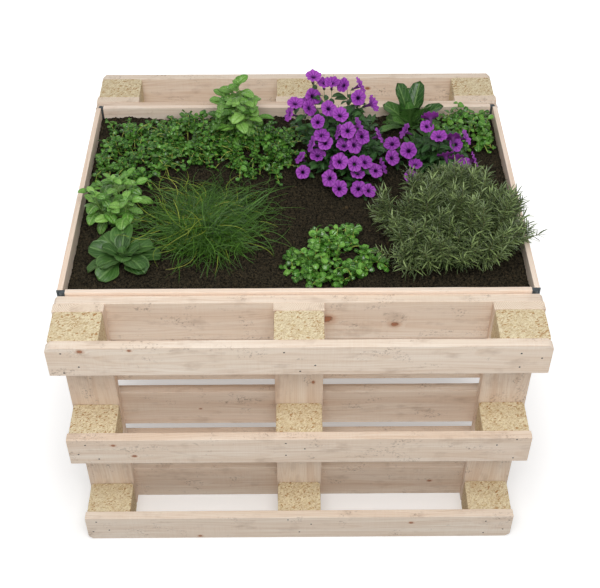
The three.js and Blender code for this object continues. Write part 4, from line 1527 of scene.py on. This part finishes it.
def petunia(name, seed, centre, spots, reach, height, shoots):
    rng = np.random.default_rng(seed)
    petals, blades, stalks = Foliage(), Foliage(), Foliage()
    middles = np.array([
        (centre[0] + x / 100, centre[1] + y / 100, soil_high[2] + z / 100) for x, y, z, _ in spots
    ])
    facings = np.array([FACINGS[code] for *_, code in spots]) + rng.normal(0, 0.13, (len(spots), 3))
    scales = rng.uniform(0.9, 1.12, len(spots))
    flowers(petals, middles, facings, scales, rng)
    facing = unit(facings)
    roots = middles - facing * (TUBE_LENGTH + 4 * MM) * scales[:, None]
    paths, bases, directions, ups, sizes, small = [], [], [], [], [], []
    for root, look, scale in zip(roots, facing, scales):
        root = root.copy()
        root[2] = max(root[2], soil_high[2] + 6 * MM)
        foot = np.array([
            centre[0] + 0.32 * (root[0] - centre[0]), centre[1] + 0.32 * (root[1] - centre[1]), soil_high[2],
        ])
        foot[2] = soil_at(foot[0], foot[1]) - 2 * MM
        bow = np.array([root[0] - centre[0], root[1] - centre[1], 0]) * 0.12 - look * 6 * MM
        path = curve(foot, root, bow, 9)
        paths.append(path)
        for k in range(5):
            azimuth = 2 * math.pi * k / 5
            across = unit(np.cross(look, [0.2, 0.1, 1.0]))
            other = np.cross(look, across)
            spread = across * math.cos(azimuth) + other * math.sin(azimuth)
            small.append((root - look * 1 * MM, look + spread * 0.45, spread, 11 * MM * scale))
        steps = max(3, int(np.linalg.norm(root - foot) / (20 * MM)))
        spin = rng.uniform(0, 6)
        for k in range(steps):
            point = along_path(path, 0.3 + 0.62 * k / max(steps - 1, 1))
            azimuth = spin + 2.3 * k
            bases.append(point)
            directions.append(flat_direction(azimuth, rng.uniform(-0.1, 0.6)))
            ups.append((0, 0, 1))
            sizes.append(rng.uniform(26, 42) * MM)
    for i in range(shoots):
        turn = rng.uniform(0, 2 * math.pi)
        share = math.sqrt(rng.uniform(0.02, 1))
        foot = np.array([
            centre[0] + 0.3 * reach[0] * share * math.cos(turn),
            centre[1] + 0.3 * reach[1] * share * math.sin(turn),
        ])
        foot = np.array([*foot, soil_at(*foot) - 2 * MM])
        head = np.array([
            centre[0] + reach[0] * share * math.cos(turn), centre[1] + reach[1] * share * math.sin(turn),
            soil_high[2] + height * (1 - 0.75 * share**2) * rng.uniform(0.55, 1.0),
        ])
        path = curve(foot, head, (0, 0, 8 * MM), 8)
        paths.append(np.concatenate([path, path[-1:] + (path[-1:] - path[-2:-1]) * 0.3]))
        steps = max(3, int(np.linalg.norm(head - foot) / (13 * MM)))
        spin = rng.uniform(0, 6)
        for k in range(steps + 1):
            point = along_path(path, 0.3 + 0.7 * k / steps)
            bases.append(point)
            directions.append(flat_direction(spin + 2.3 * k, rng.uniform(-0.1, 0.8)))
            ups.append((0, 0, 1))
            sizes.append(rng.uniform(22, 40) * (0.6 if k == steps else 1) * MM)
    sizes = np.array(sizes)
    leaves(blades, bases, directions, ups, sizes, sizes * rng.uniform(0.42, 0.55, len(sizes)), rng,
           bend=0.7, fold=0.25, ripple=0.04, puff=0.1, rows=7, columns=4, twist=0.5)
    small_bases, small_directions, small_ups, small_sizes = (np.array(part) for part in zip(*small))
    leaves(blades, small_bases, small_directions, small_ups, small_sizes, 3 * MM, rng, bend=-0.3,
           fold=0.2, rows=3, columns=2)
    stems(stalks, paths, 1.1 * MM, rng, 5)
    petals.make(f"{name}_flowers", petal_look, "petal_purple", "petunias")
    blades.make(f"{name}_leaves", petunia_leaf_look, "leaf_green", "petunias")
    stalks.make(f"{name}_stems", petunia_stem_look, "leaf_green", "petunias")


petunia("petunia_tall", 71, BUSHES[0][1], BUSHES[0][2], (125 * MM, 120 * MM), 222 * MM, 60)
petunia("petunia_low", 72, BUSHES[1][1], BUSHES[1][2], (110 * MM, 95 * MM), 115 * MM, 34)


# Stage ---------------------------------------------------------------------------------------


BELOW, HORIZON, SKY = 0.19, 0.76, 0.445


WHITE = (1, 1, 1, 1)


def stage():
    scene = bpy.context.scene
    scene.view_settings.view_transform = "Standard"

    size = 14.0
    points = [(-size, -size, 0), (size, -size, 0), (size, size, 0), (-size, size, 0)]
    m = Shader("floor_look")
    place = m.place()
    colour = m.mix(m.noise(place, 3, 2), srgb(238, 238, 238), srgb(241, 241, 241))
    # Painted light: the floor glows, least under and just around the planter and towards the front, more
    # further out and towards the rear.
    x, y, _ = m.split(place)
    beyond = m.larger(abs(x) - 0.6, abs(y) - 0.575)
    glow = m.fit(beyond, -0.08, 0.5, 0, 0.46) + m.fit(y, -0.5, 0.3, 0.2, 0.34)
    m.finish(colour, roughness=0.6, specular_ior_level=0.1, emission_color=WHITE, emission_strength=glow)
    floor = make_object("floor", np.array(points, float), [[(0, 1, 2, 3)]], m.material, smooth=False)
    floor.location.z = -0.2 * MM
    floor.visible_diffuse = False

    world = bpy.data.worlds.new("studio")
    scene.world = world
    world.use_nodes = True
    tree = world.node_tree
    background = tree.nodes["Background"]
    background.inputs["Strength"].default_value = 1.0
    sky = tree.nodes.new("ShaderNodeMapRange")
    ramp = tree.nodes.new("ShaderNodeValToRGB")
    parts = tree.nodes.new("ShaderNodeSeparateXYZ")
    tree.links.new(tree.nodes.new("ShaderNodeTexCoord").outputs["Generated"], parts.inputs[0])
    tree.links.new(parts.outputs["Z"], sky.inputs[0])
    for socket, value in zip(range(1, 5), (-1.0, 1.0, 0.0, 1.0)):
        sky.inputs[socket].default_value = value
    tree.links.new(sky.outputs[0], ramp.inputs[0])
    stops = ramp.color_ramp.elements
    stops[0].position, stops[1].position = 0.2, 1.0
    middle = [stops.new(0.5), stops.new(0.66)]
    for stop, level in zip((stops[0], *middle, stops[3]), (BELOW, HORIZON, SKY, SKY)):
        stop.color = (level, level, level, 1)
    tree.links.new(ramp.outputs[0], background.inputs["Color"])

    def area(name, location, aim, size_x, size_y, power):
        lamp = bpy.data.lights.new(name, "AREA")
        lamp.shape = "RECTANGLE"
        lamp.size = size_x
        lamp.size_y = size_y
        lamp.energy = power
        holder = bpy.data.objects.new(name, lamp)
        scene.collection.objects.link(holder)
        holder.location = location
        direction = np.array(aim) - np.array(location)
        tilt = math.atan2(math.hypot(direction[0], direction[1]), -direction[2])
        turn = math.atan2(direction[1], direction[0]) - math.pi / 2
        holder.rotation_euler = (tilt, 0, turn)

    area("overhead_light", (0.0, -2.15, 3.68), (0, 0.0, 0.5), 2.6, 1.8, 87)

    camera = bpy.data.cameras.new("camera")
    camera.sensor_width = 36
    camera.sensor_fit = "HORIZONTAL"
    camera.lens = 65.38
    holder = bpy.data.objects.new("camera", camera)
    scene.collection.objects.link(holder)
    holder.location = (-0.012, -2.3086, 2.6786)
    holder.rotation_euler = (math.radians(45.49), 0, math.radians(-0.45))
    scene.camera = holder


stage()
